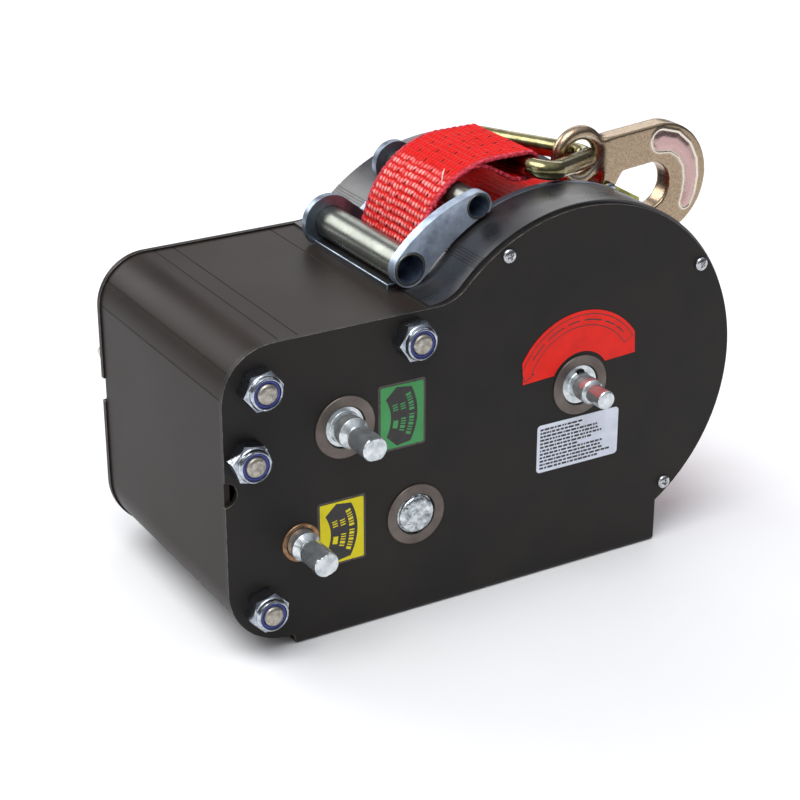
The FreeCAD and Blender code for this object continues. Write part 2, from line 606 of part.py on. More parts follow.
def release_shaft():
    """Stepped shaft on the drum axis, in the front compartment."""
    pieces = [
        along_y("release_journal", "sizes.shaft_journal",
                f"sizes.housing_width / 2 - {CHEEK_OUT} - sizes.end_gap", DRUM_X, FRONT, DRUM_UP),
        along_y("release_collar", "sizes.release_step", "sizes.release_step_reach + 1",
                DRUM_X, f"{FRONT} - sizes.release_step_reach", DRUM_UP),
        cone("release_shoulder", "sizes.release_end", "sizes.release_step", "1.4",
             DRUM_X, f"{FRONT} - sizes.release_step_reach - 1.4", DRUM_UP),
        along_y("release_bar", "sizes.release_end", "sizes.release_reach - 0.8",
                DRUM_X, f"{FRONT} - sizes.release_reach + 0.8", DRUM_UP),
        cone("release_tip", "sizes.release_end - 0.8", "sizes.release_end", "0.8",
             DRUM_X, f"{FRONT} - sizes.release_reach", DRUM_UP),
    ]
    return keep("release_shaft", fuse("release_shaft", *pieces))


def drum():
    """Barrel on its shaft, and the strap wound on it."""
    shaft = along_y("drum_axle", "sizes.drum_shaft", f"{CHEEK_OUT} + sizes.housing_width / 2",
                    DRUM_X, f"-{CHEEK_OUT}", DRUM_UP)
    barrel = along_y("drum_tube", "sizes.drum_core", "sizes.cheek_gap - 2 * sizes.drum_side_gap",
                     DRUM_X, "-sizes.cheek_gap / 2 + sizes.drum_side_gap", DRUM_UP)
    keep("drum_barrel", fuse("drum_barrel", shaft, barrel))
    wound = along_y("coil_disc", "sizes.coil_radius", "sizes.strap_width", DRUM_X, "-sizes.strap_width / 2", DRUM_UP)
    core = along_y("coil_core", "sizes.drum_core", "sizes.strap_width + 2", DRUM_X, "-sizes.strap_width / 2 - 1", DRUM_UP)
    keep("strap_coil", cut("strap_coil", wound, core))


def guide_tube(name, radius, bore, x, z):
    """Tube from the front arm to the rear ear."""
    start, length = "-" + CHEEK_OUT + " - sizes.arm_sheet", f"2 * {CHEEK_OUT} + sizes.arm_sheet + 2"
    body = along_y(f"{name}_rod", radius, length, x, start, z)
    hole = along_y(f"{name}_bore", bore, f"{length} + 2", x, f"{start} - 1", z)
    return keep(name, cut(name, body, hole))


def guide_arm():
    """Front arm: a flat bar that follows the drum arc between two round ends."""
    low_tube, high_tube = guide_places()
    low_end, high_end = size("arm_low_end"), size("arm_high_end")
    near = [(spot - drum_axis) for spot in (low_tube, high_tube)]
    angle = [math.degrees(math.atan2(v.z, v.x)) for v in near]
    inner = size("arm_inner")
    outer = [near[0].Length + low_end, near[1].Length + high_end]
    middle = (angle[0] + angle[1]) / 2
    edges = [
        arc(polar(inner, angle[0]), polar(inner, middle), polar(inner, angle[1])),
        line(polar(inner, angle[1]), polar(outer[1], angle[1])),
        arc(polar(outer[1], angle[1]), polar(sum(outer) / 2 + 1.2, middle), polar(outer[0], angle[0])),
        line(polar(outer[0], angle[0]), polar(inner, angle[0])),
    ]
    low, high = -cheek_out - size("arm_sheet"), -cheek_out
    arm = slab(edges, low, high)
    for spot, radius in ((low_tube, low_end), (high_tube, high_end)):
        arm = arm.fuse(rod(radius, spot, low, high))
    arm = arm.cut(rod(inner, drum_axis, low - 1, high + 1)).cut(tube_cutters(low, high))
    return keep("guide_arm", shaped("guide_arm", arm.removeSplitter()))


def window_sill():
    """Flat bar on the end of the shell, across the strap window."""
    bar = doc.addObject("Part::Box", "window_sill")
    bind(bar, Length="sizes.sill_width", Height="sizes.sill_sheet",
         Width=f"{CHEEK_OUT} + sizes.cheek_gap / 2 - 2 * sizes.soft_gap",
         place_x=f"{DRUM_X} - sizes.window_edge - sizes.sill_width", place_y=f"-{CHEEK_OUT} + sizes.soft_gap",
         place_z="sizes.housing_top - sizes.shell_inset")
    return keep("window_sill", bar)


def rounded_path(points, radii):
    """Edges of a run through the points, with each inner corner turned to a tangent arc."""
    edges, start = [], points[0]
    for before, corner, after, radius in zip(points, points[1:], points[2:], radii):
        into, out = (before - corner).normalize(), (after - corner).normalize()
        half = math.acos(max(-1, min(1, into.dot(out)))) / 2
        setback = radius / math.tan(half)
        first, last = corner + into * setback, corner + out * setback
        centre = corner + (into + out).normalize() * (radius / math.sin(half))
        middle = centre + (corner - centre).normalize() * radius
        edges += [line(start, first), arc(first, middle, last)]
        start = last
    return edges + [line(start, points[-1])]


def strap():
    """Free strap: off the coil, over the upper tube, round the link's bar and back under itself."""
    half, gap = size("strap_sheet") / 2, size("soft_gap")
    path_radius = size("coil_radius") + gap + half
    leave = size("strap_leave_angle")
    start = polar(path_radius, leave)
    climb = Vector(math.sin(math.radians(leave)), 0, -math.cos(math.radians(leave)))
    bar = link_frame()[0]
    wrap = size("link_bar") + gap + 0.1 + half
    top = bar.z + wrap + 0.1
    crest = start + climb * ((top - start.z) / climb.z)
    lap_up = top - 2 * half - 0.1
    points = [
        start,
        crest,
        xz(bar.x + wrap, top),
        xz(bar.x + wrap, bar.z - wrap),
        xz(bar.x - wrap, bar.z - wrap - 0.1),
        xz(bar.x - size("strap_lap") + 6, lap_up),
        xz(bar.x - size("strap_lap"), lap_up),
    ]
    radii = [size("strap_bend"), wrap - 0.4, wrap - 0.4, 12, 8]
    spine = Part.Wire(rounded_path(points, radii))
    width = size("strap_width")
    corner = [start + climb.cross(SIDEWAYS) * side * half for side in (-1, 1)]
    low, high = Vector(0, -width / 2, 0), Vector(0, width / 2, 0)
    rim = [corner[0] + low, corner[1] + low, corner[1] + high, corner[0] + high, corner[0] + low]
    solid = spine.makePipeShell([Part.makePolygon(rim)], True, False)
    return keep("strap", shaped("strap", solid))


def link_frame():
    """Base point, direction of the apex and normal of the link's plane."""
    tilt = math.radians(size("link_tilt"))
    rise = size("cheek_arc") + size("link_clear") + size("link_bar")
    base = drum_axis + Vector(-size("link_back"), 0, rise)
    return base, Vector(math.cos(tilt), 0, -math.sin(tilt))


def apex_point():
    """Centre of the link's bar where the hook's eye hangs on it."""
    base, out = link_frame()
    half_angle = math.atan2(size("link_half_width"), size("link_height"))
    return base + out * (size("link_height") - size("link_apex") * (1 / math.sin(half_angle) - 1))


def link():
    """Three-cornered ring of round bar."""
    base, out = link_frame()
    side = Vector(0, size("link_half_width"), 0)
    apex = base + out * size("link_height")
    points = [base, base + side, apex, base - side, base]
    radii = [size("link_corner"), size("link_apex"), size("link_corner")]
    spine = Part.Wire(rounded_path(points, radii))
    section = Part.Wire(Part.makeCircle(size("link_bar"), base, Vector(0, 1, 0)))
    return keep("link", shaped("link", spine.makePipeShell([section], True, False)))


def hook_places():
    """Centres of the eye and the bowl."""
    eye = apex_point() - Vector(1, 0, 0) * (size("eye_hole") - size("link_bar") - size("eye_play"))
    tilt = math.radians(size("shank_tilt"))
    return eye, eye + Vector(math.cos(tilt), 0, -math.sin(tilt)) * size("shank_length")


def hook_tip():
    bowl = hook_places()[1]
    return bowl - Vector(size("tip_back"), 0, size("tip_drop"))


def hook_outline():
    """Side view of the shank and the bowl, from the eye round to the eye again."""
    eye, bowl = hook_places()
    inner, outer, tip_r = size("bowl_inner"), size("bowl_outer"), size("tip_radius")
    outside = bowl + Vector(size("bowl_shift"), 0, 1)
    tip = hook_tip()
    neck_top, neck_low = eye + Vector(12.5, 0, 9), eye + Vector(12.5, 0, -13)
    shoulder, heel = outside + Vector(3.5, 0, outer), outside + Vector(5, 0, -outer + 2.1)
    underside = tip + Vector(0.5, 0, -tip_r)
    inside = tip + Vector(1.2, 0, tip_r)
    mouth, roof = bowl + Vector(-2, 0, -inner + 0.15), bowl + Vector(3.6, 0, inner - 0.45)
    return [
        line(neck_top, shoulder),
        arc(shoulder, outside + Vector(outer, 0, -1), heel),
        arc(heel, outside + Vector(-7, 0, -outer + 2.1), underside),
        arc(underside, tip + Vector(-tip_r, 0, 0.5), inside),
        line(inside, mouth),
        arc(mouth, bowl + Vector(inner, 0, 0), roof),
        line(roof, neck_low),
        line(neck_low, neck_top),
    ]


def hook():
    """Forged hook: round eye, straight shank with a lug for the latch, and a bowl with a rounded tip."""
    eye = hook_places()[0]
    pivot, lug = latch_pivot(), size("lug_radius")
    half = size("hook_thickness") / 2
    ring_radius = size("eye_hole") + size("eye_section")
    forging = slab(hook_outline(), -half, half).cut(rod(ring_radius, eye, -half - 1, half + 1))
    root = [
        pivot + Vector(-lug, 0, 0),
        pivot + Vector(lug, 0, 0),
        pivot + Vector(2 * lug, 0, pivot_rise() + 2),
        pivot + Vector(-lug / 2, 0, pivot_rise() + 2),
    ]
    web = slab([line(root[i], root[(i + 1) % 4]) for i in range(4)], -half, half)
    ring = Part.makeTorus(ring_radius, size("eye_section"), eye, SIDEWAYS)
    solid = forging.fuse([web, rod(lug, pivot, -half, half), ring]).removeSplitter()
    clear_eye = rod(size("eye_hole"), eye, -half - 1, half + 1)
    solid = solid.cut(clear_eye).cut(rod(size("rivet"), pivot, -half - 1, half + 1))
    return keep("hook", shaped("hook", solid))


def pivot_rise():
    """Height of the shank's underside above the latch rivet."""
    return size("pivot_drop") - 13


def latch_pivot():
    return hook_places()[0] + Vector(size("pivot_along"), 0, -size("pivot_drop"))


def latch_angle():
    """Slope of the latch below level that brings its end to rest on the inside of the hook's tip."""
    drop = latch_pivot().z - hook_tip().z - size("tip_radius") - 0.4
    reach = math.hypot(size("latch_length"), size("latch_low"))
    return math.asin(drop / reach) - math.atan2(size("latch_low"), size("latch_length"))


def latch():
    """Sheet latch: two sides beside the hook and a web between them, on a rivet."""
    pivot, slope = latch_pivot(), latch_angle()
    along, up = Vector(math.cos(slope), 0, -math.sin(slope)), Vector(math.sin(slope), 0, math.cos(slope))
    low, high, length = size("latch_low"), size("latch_high"), size("latch_length")
    inner_half = size("hook_thickness") / 2 + size("latch_side_gap")
    outer_half = inner_half + size("latch_sheet")

    def at(forward, rise):
        return pivot + along * forward + up * rise

    outline = [
        arc(at(0, -low), at(-(low + high) / 2, (high - low) / 2), at(0, high)),
        line(at(0, high), at(length - 4, high)),
        line(at(length - 4, high), at(length, -low + size("latch_sheet"))),
        line(at(length, -low + size("latch_sheet")), at(length, -low)),
        line(at(length, -low), at(0, -low)),
    ]
    web_top, web_start, past = -low + size("latch_sheet"), size("latch_web_start"), low + high
    hollow = [at(-past, web_top), at(length + past, web_top), at(length + past, past), at(-past, past)]
    mouth = [at(-past, -past), at(web_start, -past), at(web_start, past), at(-past, past)]
    body = slab(outline, -outer_half, outer_half)
    for corners in (hollow, mouth):
        body = body.cut(slab([line(corners[i], corners[(i + 1) % 4]) for i in range(4)], -inner_half, inner_half))
    body = body.cut(rod(size("rivet") + size("running_gap"), pivot, -outer_half - 1, outer_half + 1))
    return keep("latch", shaped("latch", body))


def latch_rivet():
    """Rivet through the hook's lug, with a head outside each side of the latch."""
    pivot = latch_pivot()
    seat = size("hook_thickness") / 2 + 2 * size("latch_side_gap") + size("latch_sheet")
    end = seat + size("latch_sheet")
    pin = rod(size("rivet"), pivot, -end, end)
    pin = pin.fuse([rod(size("rivet_head"), pivot, -end, -seat), rod(size("rivet_head"), pivot, seat, end)])
    return keep("latch_rivet", shaped("latch_rivet", pin.removeSplitter()))


def label(name, left, low, wide, tall, corner):
    """Thin rectangle on the front plate, from its lower left corner."""
    sheet_t = size("label_sheet")
    plate = Part.makeBox(wide, sheet_t, tall, Vector(left, front_face - sheet_t, low))
    corners = [e for e in plate.Edges if e.BoundBox.YLength > 0.01 and e.BoundBox.DiagonalLength < 2 * sheet_t]
    return keep(name, shaped(name, plate.makeFillet(corner, corners)))


def direction_labels():
    """Green label beside the upper crank end, yellow label beside the lower one."""
    upper, lower = shaft_places()[0], shaft_places()[3]
    wide, tall = size("label_wide"), size("label_tall")
    label("green_label", upper[0] + size("green_label_off"), upper[1] - size("green_label_drop"), wide, tall, 0.8)
    label("yellow_label", lower[0] + size("yellow_label_off"), lower[1] - size("yellow_label_drop"), wide, tall, 0.8)


def data_label():
    label("data_label", drum_axis.x - size("data_label_back"), drum_axis.z - size("data_label_drop"),
          size("data_label_wide"), size("data_label_tall"), 2.2)


def dial_label():
    """Red label round the upper half of the drum axis ring."""
    sheet_t, half_chord, radius = size("label_sheet"), size("dial_side"), size("dial_radius")
    disc = rod(radius, drum_axis, front_face - sheet_t, front_face)
    keep_box = Part.makeBox(2 * half_chord, 10, radius, Vector(drum_axis.x - half_chord, front_face - 5,
                                                               drum_axis.z + size("dial_chord")))
    ring = rod(size("ring_outer") + 2, drum_axis, front_face - 5, front_face + 5)
    piece = disc.common(keep_box).cut(ring)
    piece.rotate(drum_axis, SIDEWAYS, -size("dial_tilt"))
    return keep("dial_label", shaped("dial_label", piece))


side_plate("front_plate", -1)
side_plate("rear_plate", 1)
cheek_plate("front_inner_plate", -1)
cheek_plate("rear_inner_plate", 1)
end_shell()
drum_band("front_band", -1)
drum_band("rear_band", 1)
bearing_rings()
tie_bolts()
cover_screws("front_cover_screws", -1)
cover_screws("rear_cover_screws", 1)
crank_shaft("upper_crank_shaft", *UPPER_SHAFT, "sizes.shaft_journal",
            "sizes.crank_collar", "sizes.upper_crank_reach", size("upper_flats_turn"))
crank_shaft("lower_crank_shaft", *LOWER_SHAFT, "sizes.bush_journal",
            "sizes.bush_journal", "sizes.lower_crank_reach", size("lower_flats_turn"))
middle_shaft()
release_shaft()
drum()
guide_tube("lower_guide_tube", "sizes.low_tube", "sizes.low_tube_bore",
           f"{DRUM_X} - sizes.low_tube_back", f"{DRUM_UP} + sizes.low_tube_rise")
guide_tube("upper_guide_tube", "sizes.high_tube", "sizes.high_tube_bore",
           f"{DRUM_X} - sizes.high_tube_back", f"{DRUM_UP} + sizes.high_tube_rise")
guide_arm()
window_sill()
strap()
link()
hook()
latch()
latch_rivet()
direction_labels()
data_label()
dial_label()

doc.recompute()

# Every object has to be sound before anything is written
for item in doc.Objects:
    if "Invalid" in item.State or "Error" in item.State:
        raise RuntimeError(f"{item.Name} failed: {item.State}")
os.makedirs("parts", exist_ok=True)
for name, item in nodes.items():
    shape = item.Shape
    if shape.isNull() or not shape.isValid() or not shape.Solids:
        raise RuntimeError(f"{name} has no valid solid")
    shape.exportStep(f"parts/{name}.step")
    print(f"{name:24s} solids {len(shape.Solids):2d} volume {shape.Volume:12.1f}")
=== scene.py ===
"""Looks of the hand strap winch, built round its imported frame: pieces, finishes, light and camera."""

import functools
import math
import random

import bmesh
import bpy
import numpy
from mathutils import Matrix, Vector, noise


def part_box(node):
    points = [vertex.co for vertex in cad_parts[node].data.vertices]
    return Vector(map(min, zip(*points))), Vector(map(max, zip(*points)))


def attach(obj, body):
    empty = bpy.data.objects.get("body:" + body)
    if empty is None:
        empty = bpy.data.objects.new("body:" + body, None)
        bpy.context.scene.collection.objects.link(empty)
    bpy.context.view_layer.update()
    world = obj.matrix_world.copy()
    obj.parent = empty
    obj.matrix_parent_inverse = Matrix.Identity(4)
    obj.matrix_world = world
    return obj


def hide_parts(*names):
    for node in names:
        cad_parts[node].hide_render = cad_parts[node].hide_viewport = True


bl_info = {
    "name": "Hand strap winch looks",
    "version": (1, 0, 0),
    "blender": (4, 5, 0),
    "location": "3D View > Sidebar > Winch",
    "description": "Builds the winch's visible pieces, finishes and stage round its frame",
    "category": "Object",
}

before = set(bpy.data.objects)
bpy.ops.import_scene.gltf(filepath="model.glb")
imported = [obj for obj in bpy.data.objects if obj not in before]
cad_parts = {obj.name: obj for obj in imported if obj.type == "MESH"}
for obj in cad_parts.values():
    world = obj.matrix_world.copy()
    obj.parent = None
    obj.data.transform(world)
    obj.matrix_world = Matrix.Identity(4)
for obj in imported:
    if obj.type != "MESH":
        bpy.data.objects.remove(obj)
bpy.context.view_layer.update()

# Lengths below are in millimetres, as on the drawing; meshes are made in metres
MM = 0.001
# Points closer than this are one point, and edges sharper than this stay sharp
WELD, SHARP_ANGLE = 0.005 * MM, math.radians(28)
# Radius that stands for the middle of a turned piece, so that its faces keep an area
CENTRE = 0.02


def axis_of(node):
    """Centre of a node's box seen from the side, as x and z."""
    low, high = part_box(node)
    return (low.x + high.x) / 2 / MM, (low.z + high.z) / 2 / MM


def reach_of(node):
    """Lowest and highest y of a node."""
    low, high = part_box(node)
    return low.y / MM, high.y / MM


# Places taken from the frame
UPPER_AXIS = axis_of("upper_shaft_rings")
LOWER_AXIS = axis_of("lower_shaft_bushes")
MIDDLE_AXIS = axis_of("middle_shaft_rings")
DRUM_AXIS = axis_of("drum_axis_rings")
LOW_TUBE_AXIS = axis_of("lower_guide_tube")
HIGH_TUBE_AXIS = axis_of("upper_guide_tube")
RIVET_AXIS = axis_of("latch_rivet")
FRONT_FACE = reach_of("front_plate")[0]
BACK_FACE = reach_of("rear_plate")[1]
TIE_AXES = ((-132.4, 149.4), (-139.6, 112.4), (-132.4, 27.7), (-45.9, 157.0))
TIE_TURNS = (8.0, -9.0, 14.0, 3.0)
SCREW_ANGLES = (120.0, 35.0, -50.5)
SCREW_CIRCLE = 94.0


def linear(hex_colour):
    """Linear colour with alpha from an sRGB hex value."""
    channels = [int(hex_colour[i:i + 2], 16) / 255 for i in (1, 3, 5)]
    return (*[c / 12.92 if c <= 0.04045 else ((c + 0.055) / 1.055) ** 2.4 for c in channels], 1.0)


def colour_setting(name, description, hex_colour):
    """Setting of a colour, given as an sRGB hex value."""
    return bpy.props.FloatVectorProperty(name=name, description=description, default=linear(hex_colour),
                                         size=4, min=0, max=1, subtype="COLOR")


def length_setting(name, description, millimetres):
    """Setting of a length, given in millimetres and kept in metres."""
    return bpy.props.FloatProperty(name=name, description=description, default=millimetres * MM,
                                   min=0, unit="LENGTH", subtype="DISTANCE", precision=5)


def level_setting(name, description, level, unit="POWER", least=0.0):
    """Setting of a light's strength or of the camera's lens."""
    return bpy.props.FloatProperty(name=name, description=description, default=level, min=least, unit=unit)


class WINCH_PG_sizes(bpy.types.PropertyGroup):
    """Sizes of the detail that the frame doesn't have."""
    plate_edge: length_setting("Plate edge", "Rounding of the coated side plates' edges", 0.4)
    cheek_edge: length_setting("Inner plate edge", "Rounding of the zinc plated inner plates' edges", 1.1)
    arm_edge: length_setting("Guide arm edge", "Rounding of the guide arm's edges", 1.2)
    groove_depth: length_setting("Shell groove", "Depth of the lines drawn in the shell", 0.35)
    rib_height: length_setting("Band rib", "Height of the fine ribs pressed in the drum bands", 0.35)
    weave_across: length_setting("Weave across", "Spacing of the webbing's cords across its width", 2.9)
    weave_along: length_setting("Weave along", "Spacing of the webbing's rows along its length", 4.1)
    weave_height: length_setting("Weave height", "Height of the webbing's bumps", 0.75)
    tracer_spacing: length_setting("Tracer spacing", "Spacing of the dark tracer threads", 11.65)
    recess_depth: length_setting("Hook recess", "Depth of the kidney-shaped recess in the hook", 1.4)


class WINCH_PG_colours(bpy.types.PropertyGroup):
    """Colours of the finishes."""
    plate_coat: colour_setting("Plate coat", "Warm black powder coat of the side plates", "#1f1c1b")
    shell_coat: colour_setting("Shell", "Dark brown-grey of the drawn shell", "#2b2623")
    band_coat: colour_setting("Bands", "Grey-black of the drum bands", "#232427")
    webbing: colour_setting("Webbing", "Red of the polyester webbing", "#da120c")
    # Painted shade: the darker red that fills the hollows between the webbing's cords
    webbing_valley_shade: colour_setting("Webbing between cords", "Deep red between the webbing's cords", "#b90a0b")
    nylon: colour_setting("Nylon ring", "Blue of the nylon in the lock nuts", "#343f8e")
    green_film: colour_setting("Green film", "Green of the upper label", "#4a9c5b")
    yellow_film: colour_setting("Yellow film", "Yellow of the lower label", "#ead91a")
    red_film: colour_setting("Red film", "Red of the round label", "#f01d0b")
    white_film: colour_setting("White film", "Blue-white of the data label", "#e4e9f6")
    print_ink: colour_setting("Ink", "Black print on the labels", "#231f20")
    floor: colour_setting("Floor", "Pale studio floor", "#f4f4f4")


class WINCH_PG_stage(bpy.types.PropertyGroup):
    """Camera and light."""
    focal_length: level_setting("Focal length", "Focal length of the camera", 93.06, "CAMERA", 10)
    daylight: level_setting("Even light", "Strength of the even light from above", 1.3, "NONE")
    key_power: level_setting("Key light", "Power of the large light overhead", 6.5)
    fill_power: level_setting("Fill light", "Power of the light beside the camera", 2.5)
    rim_power: level_setting("Rim light", "Power of the light at the back", 4.2)
    window_power: level_setting("Window light", "Power of the far light behind, at the left", 22.0)


def add(tree, kind, inputs=None, **settings):
    """Add a node, set its properties, and fill or link its inputs by name or number."""
    node = tree.nodes.new(kind)
    for name, value in settings.items():
        setattr(node, name, value)
    for socket, value in (inputs or {}).items():
        if isinstance(value, bpy.types.NodeSocket):
            tree.links.new(value, node.inputs[socket])
        else:
            node.inputs[socket].default_value = value
    return node


def new_finish(name, inputs):
    """Empty material of one Principled shader with the given fixed inputs."""
    material = bpy.data.materials.new(name)
    material.use_nodes = True
    tree = material.node_tree
    tree.nodes.clear()
    shader = add(tree, "ShaderNodeBsdfPrincipled", inputs)
    add(tree, "ShaderNodeOutputMaterial", {"Surface": shader.outputs[0]})
    return material, tree, shader


def per(millimetres):
    """Texture scale whose features are that far apart."""
    return 1 / (millimetres * MM)


def set_bump(tree, shader, height, depth):
    """Bump of that depth in millimetres on the shader's normal."""
    bump = add(tree, "ShaderNodeBump", {"Height": height, "Distance": depth * MM, "Strength": 1.0})
    tree.links.new(bump.outputs[0], shader.inputs["Normal"])


def coated(name, colour, tint, roughness, peel, peel_depth, patch=45.0, stretch=(1, 1, 1), shine=0.5):
    """Coat on metal: a soft patchy tone, an uneven gloss and a fine skin."""
    material, tree, shader = new_finish(name, {"IOR": 1.5, "Specular IOR Level": shine})
    place = add(tree, "ShaderNodeTexCoord").outputs["Object"]
    patches = add(tree, "ShaderNodeTexNoise", {"Vector": place, "Scale": per(patch), "Detail": 4.0})
    share = patches.outputs[0]
    faded = add(tree, "ShaderNodeMapRange", {0: share, 1: 0.35, 2: 0.75, 3: 0.0, 4: 1.0})
    tone = add(tree, "ShaderNodeMix", {0: faded.outputs[0], 6: colour, 7: tint}, data_type="RGBA")
    gloss = add(tree, "ShaderNodeMapRange", {0: share, 1: 0.3, 2: 0.7, 3: roughness[0], 4: roughness[1]})
    tree.links.new(tone.outputs[2], shader.inputs["Base Color"])
    tree.links.new(gloss.outputs[0], shader.inputs["Roughness"])
    mapped = add(tree, "ShaderNodeMapping", {"Vector": place, "Scale": stretch})
    skin = add(tree, "ShaderNodeTexNoise", {"Vector": mapped.outputs[0], "Scale": per(peel), "Detail": 2.0})
    set_bump(tree, shader, skin.outputs[0], peel_depth)
    return material


@functools.cache
def powder_coat():
    """Powder coat on steel sheet, baked satin, with a fine orange peel and faint wiped patches."""
    colours = bpy.context.scene.winch_colours
    return coated("Powder-coated steel", colours.plate_coat, linear("#292622"), (0.4, 0.5),
                  0.7, 0.012, shine=0.2)


@functools.cache
def worn_edge():
    """Sheared edge of coated sheet: the coat is worn through in places and the bare steel shows light."""
    coat, steel = bpy.context.scene.winch_colours.plate_coat, linear("#8d8780")
    material, tree, shader = new_finish("Rubbed sheet edge", {"IOR": 1.5, "Roughness": 0.42})
    place = add(tree, "ShaderNodeTexCoord").outputs["Object"]
    chips = add(tree, "ShaderNodeTexNoise", {
        "Vector": place, "Scale": per(3.0), "Detail": 5.0, "Roughness": 0.7,
    })
    bare = add(tree, "ShaderNodeMapRange", {0: chips.outputs[0], 1: 0.42, 2: 0.58, 3: 0.15, 4: 1.0})
    tone = add(tree, "ShaderNodeMix", {0: bare.outputs[0], 6: coat, 7: steel}, data_type="RGBA")
    tree.links.new(tone.outputs[2], shader.inputs["Base Color"])
    shine = add(tree, "ShaderNodeMapRange", {0: bare.outputs[0], 3: 0.0, 4: 0.6})
    tree.links.new(shine.outputs[0], shader.inputs["Metallic"])
    set_bump(tree, shader, chips.outputs[0], 0.05)
    return material


@functools.cache
def drawn_shell():
    """Dark anodised aluminium, drawn through a die: satin, with fine lines along its length."""
    colours = bpy.context.scene.winch_colours
    return coated("Drawn anodised aluminium", colours.shell_coat, linear("#322c29"), (0.36, 0.44),
                  0.9, 0.02, patch=60.0, stretch=(1, 0.01, 1), shine=0.09)


@functools.cache
def band_coat():
    """Stoved enamel on rolled steel band: half gloss, so lights and neighbours show softly in it."""
    colours = bpy.context.scene.winch_colours
    return coated("Stoved enamel band", colours.band_coat, linear("#2f2e2e"), (0.24, 0.38), 6.0, 0.05,
                  patch=14.0, shine=0.85)


def metal(name, light, dark, roughness, patch, grain, grain_depth, marks=0.0, metallic=1.0):
    """Metal of two tones in soft patches, with a fine grain and turning marks that far apart, if any."""
    material, tree, shader = new_finish(name, {"Metallic": metallic})
    place = add(tree, "ShaderNodeTexCoord").outputs["Object"]
    patches = add(tree, "ShaderNodeTexNoise", {
        "Vector": place, "Scale": per(patch), "Detail": 4.0, "Roughness": 0.6,
    })
    spread = add(tree, "ShaderNodeMapRange", {0: patches.outputs[0], 1: 0.34, 2: 0.66, 3: 0.0, 4: 1.0})
    share = spread.outputs[0]
    tone = add(tree, "ShaderNodeMix", {0: share, 6: linear(light), 7: linear(dark)}, data_type="RGBA")
    tree.links.new(tone.outputs[2], shader.inputs["Base Color"])
    fine = add(tree, "ShaderNodeTexNoise", {"Vector": place, "Scale": per(grain), "Detail": 3.0})
    height = fine.outputs[0]
    if marks:
        run = add(tree, "ShaderNodeSeparateXYZ", {0: add(tree, "ShaderNodeUVMap").outputs[0]}).outputs[0]
        lines = add(tree, "ShaderNodeTexNoise", {"W": run, "Scale": 1 / marks, "Detail": 2.0},
                    noise_dimensions="1D")
        height = add(tree, "ShaderNodeMix", {0: 0.7, 2: height, 3: lines.outputs[0]}).outputs[0]
    mixed = add(tree, "ShaderNodeMath", {0: height, 1: share}, operation="ADD").outputs[0]
    gloss = add(tree, "ShaderNodeMapRange", {0: mixed, 1: 0.4, 2: 1.6, 3: roughness[0], 4: roughness[1]})
    tree.links.new(gloss.outputs[0], shader.inputs["Roughness"])
    set_bump(tree, shader, height, grain_depth)
    return material


@functools.cache
def dull_zinc():
    """Zinc plate on cold-drawn steel, passivated: dull, slightly greenish, with cloudy patches."""
    return metal("Passivated zinc", "#8b8e86", "#787b74", (0.24, 0.34), 16.0, 0.8, 0.008, metallic=0.9)


@functools.cache
def blue_zinc():
    """Zinc plate on blanked steel sheet: cool blue-grey, a little cloudy."""
    return metal("Blue zinc on sheet steel", "#8f9aa9", "#66707d", (0.3, 0.45), 12.0, 1.0, 0.015,
                 metallic=0.85)


@functools.cache
def arm_zinc():
    """Blue zinc on a thick blanked arm, tumbled first: soft and even, with bright rounded edges."""
    return metal("Blue zinc on a tumbled arm", "#cbd8ea", "#8f9cae", (0.34, 0.5), 11.0, 1.0, 0.015,
                 metallic=0.75)


@functools.cache
def bore_zinc():
    """Zinc inside a tube's bore: dark and bluish, darker than the tube's outside."""
    return metal("Blue zinc in a bore", "#7f90ad", "#4b5b75", (0.3, 0.45), 6.0, 0.8, 0.01, metallic=0.7)


@functools.cache
def crank_zinc():
    """Bright zinc on milled and turned shaft ends: silver white and soft, it catches light from all sides."""
    return metal("Bright zinc on a crank end", "#e4e9ea", "#b4bcc0", (0.14, 0.28), 4.5, 0.9, 0.006, marks=0.8,
                 metallic=0.82)


@functools.cache
def nut_zinc():
    """Bright zinc on forged nuts: silver white, smooth flats with faint dents."""
    return metal("Bright zinc on forged nuts", "#ccd2d9", "#8f96a1", (0.12, 0.28), 2.6, 1.2, 0.04)


@functools.cache
def bolt_zinc():
    """Bright zinc on a sawn and chamfered bolt end: beige silver, dull, as the cut isn't polished."""
    return metal("Bright zinc on a bolt end", "#bdb7ac", "#8c8880", (0.26, 0.42), 2.2, 0.9, 0.02,
                 metallic=0.85)


@functools.cache
def peened_zinc():
    """Bright zinc on a peened shaft end: mottled white and grey, each hammer mark with its own shine."""
    return metal("Bright zinc, peened", "#e3e9ec", "#7b8488", (0.1, 0.32), 3.6, 2.4, 0.6)


@functools.cache
def turned_ring():
    """Oiled steel, turned: grey-brown, with close turning marks round the bore."""
    return metal("Turned oiled steel", "#756c66", "#645c57", (0.34, 0.44), 14.0, 0.8, 0.008, marks=0.7)


@functools.cache
def turned_bronze():
    """Bearing bronze, turned: warm brown with a pale worn lip."""
    return metal("Turned bronze", "#a98565", "#7f6047", (0.26, 0.4), 3.0, 0.8, 0.006, marks=0.6)


@functools.cache
def stainless():
    """Stainless steel, cold headed and polished: bright, with sharp small reflections."""
    return metal("Polished stainless steel", "#d3d3d6", "#a5a5aa", (0.1, 0.2), 2.0, 0.6, 0.01)


@functools.cache
def link_zinc():
    """Yellow passivated zinc on bent round bar: glossy, shifting from straw to green and a little pink."""
    return metal("Yellow zinc on round bar", "#a89f76", "#6a6546", (0.1, 0.24), 7.0, 0.7, 0.03)


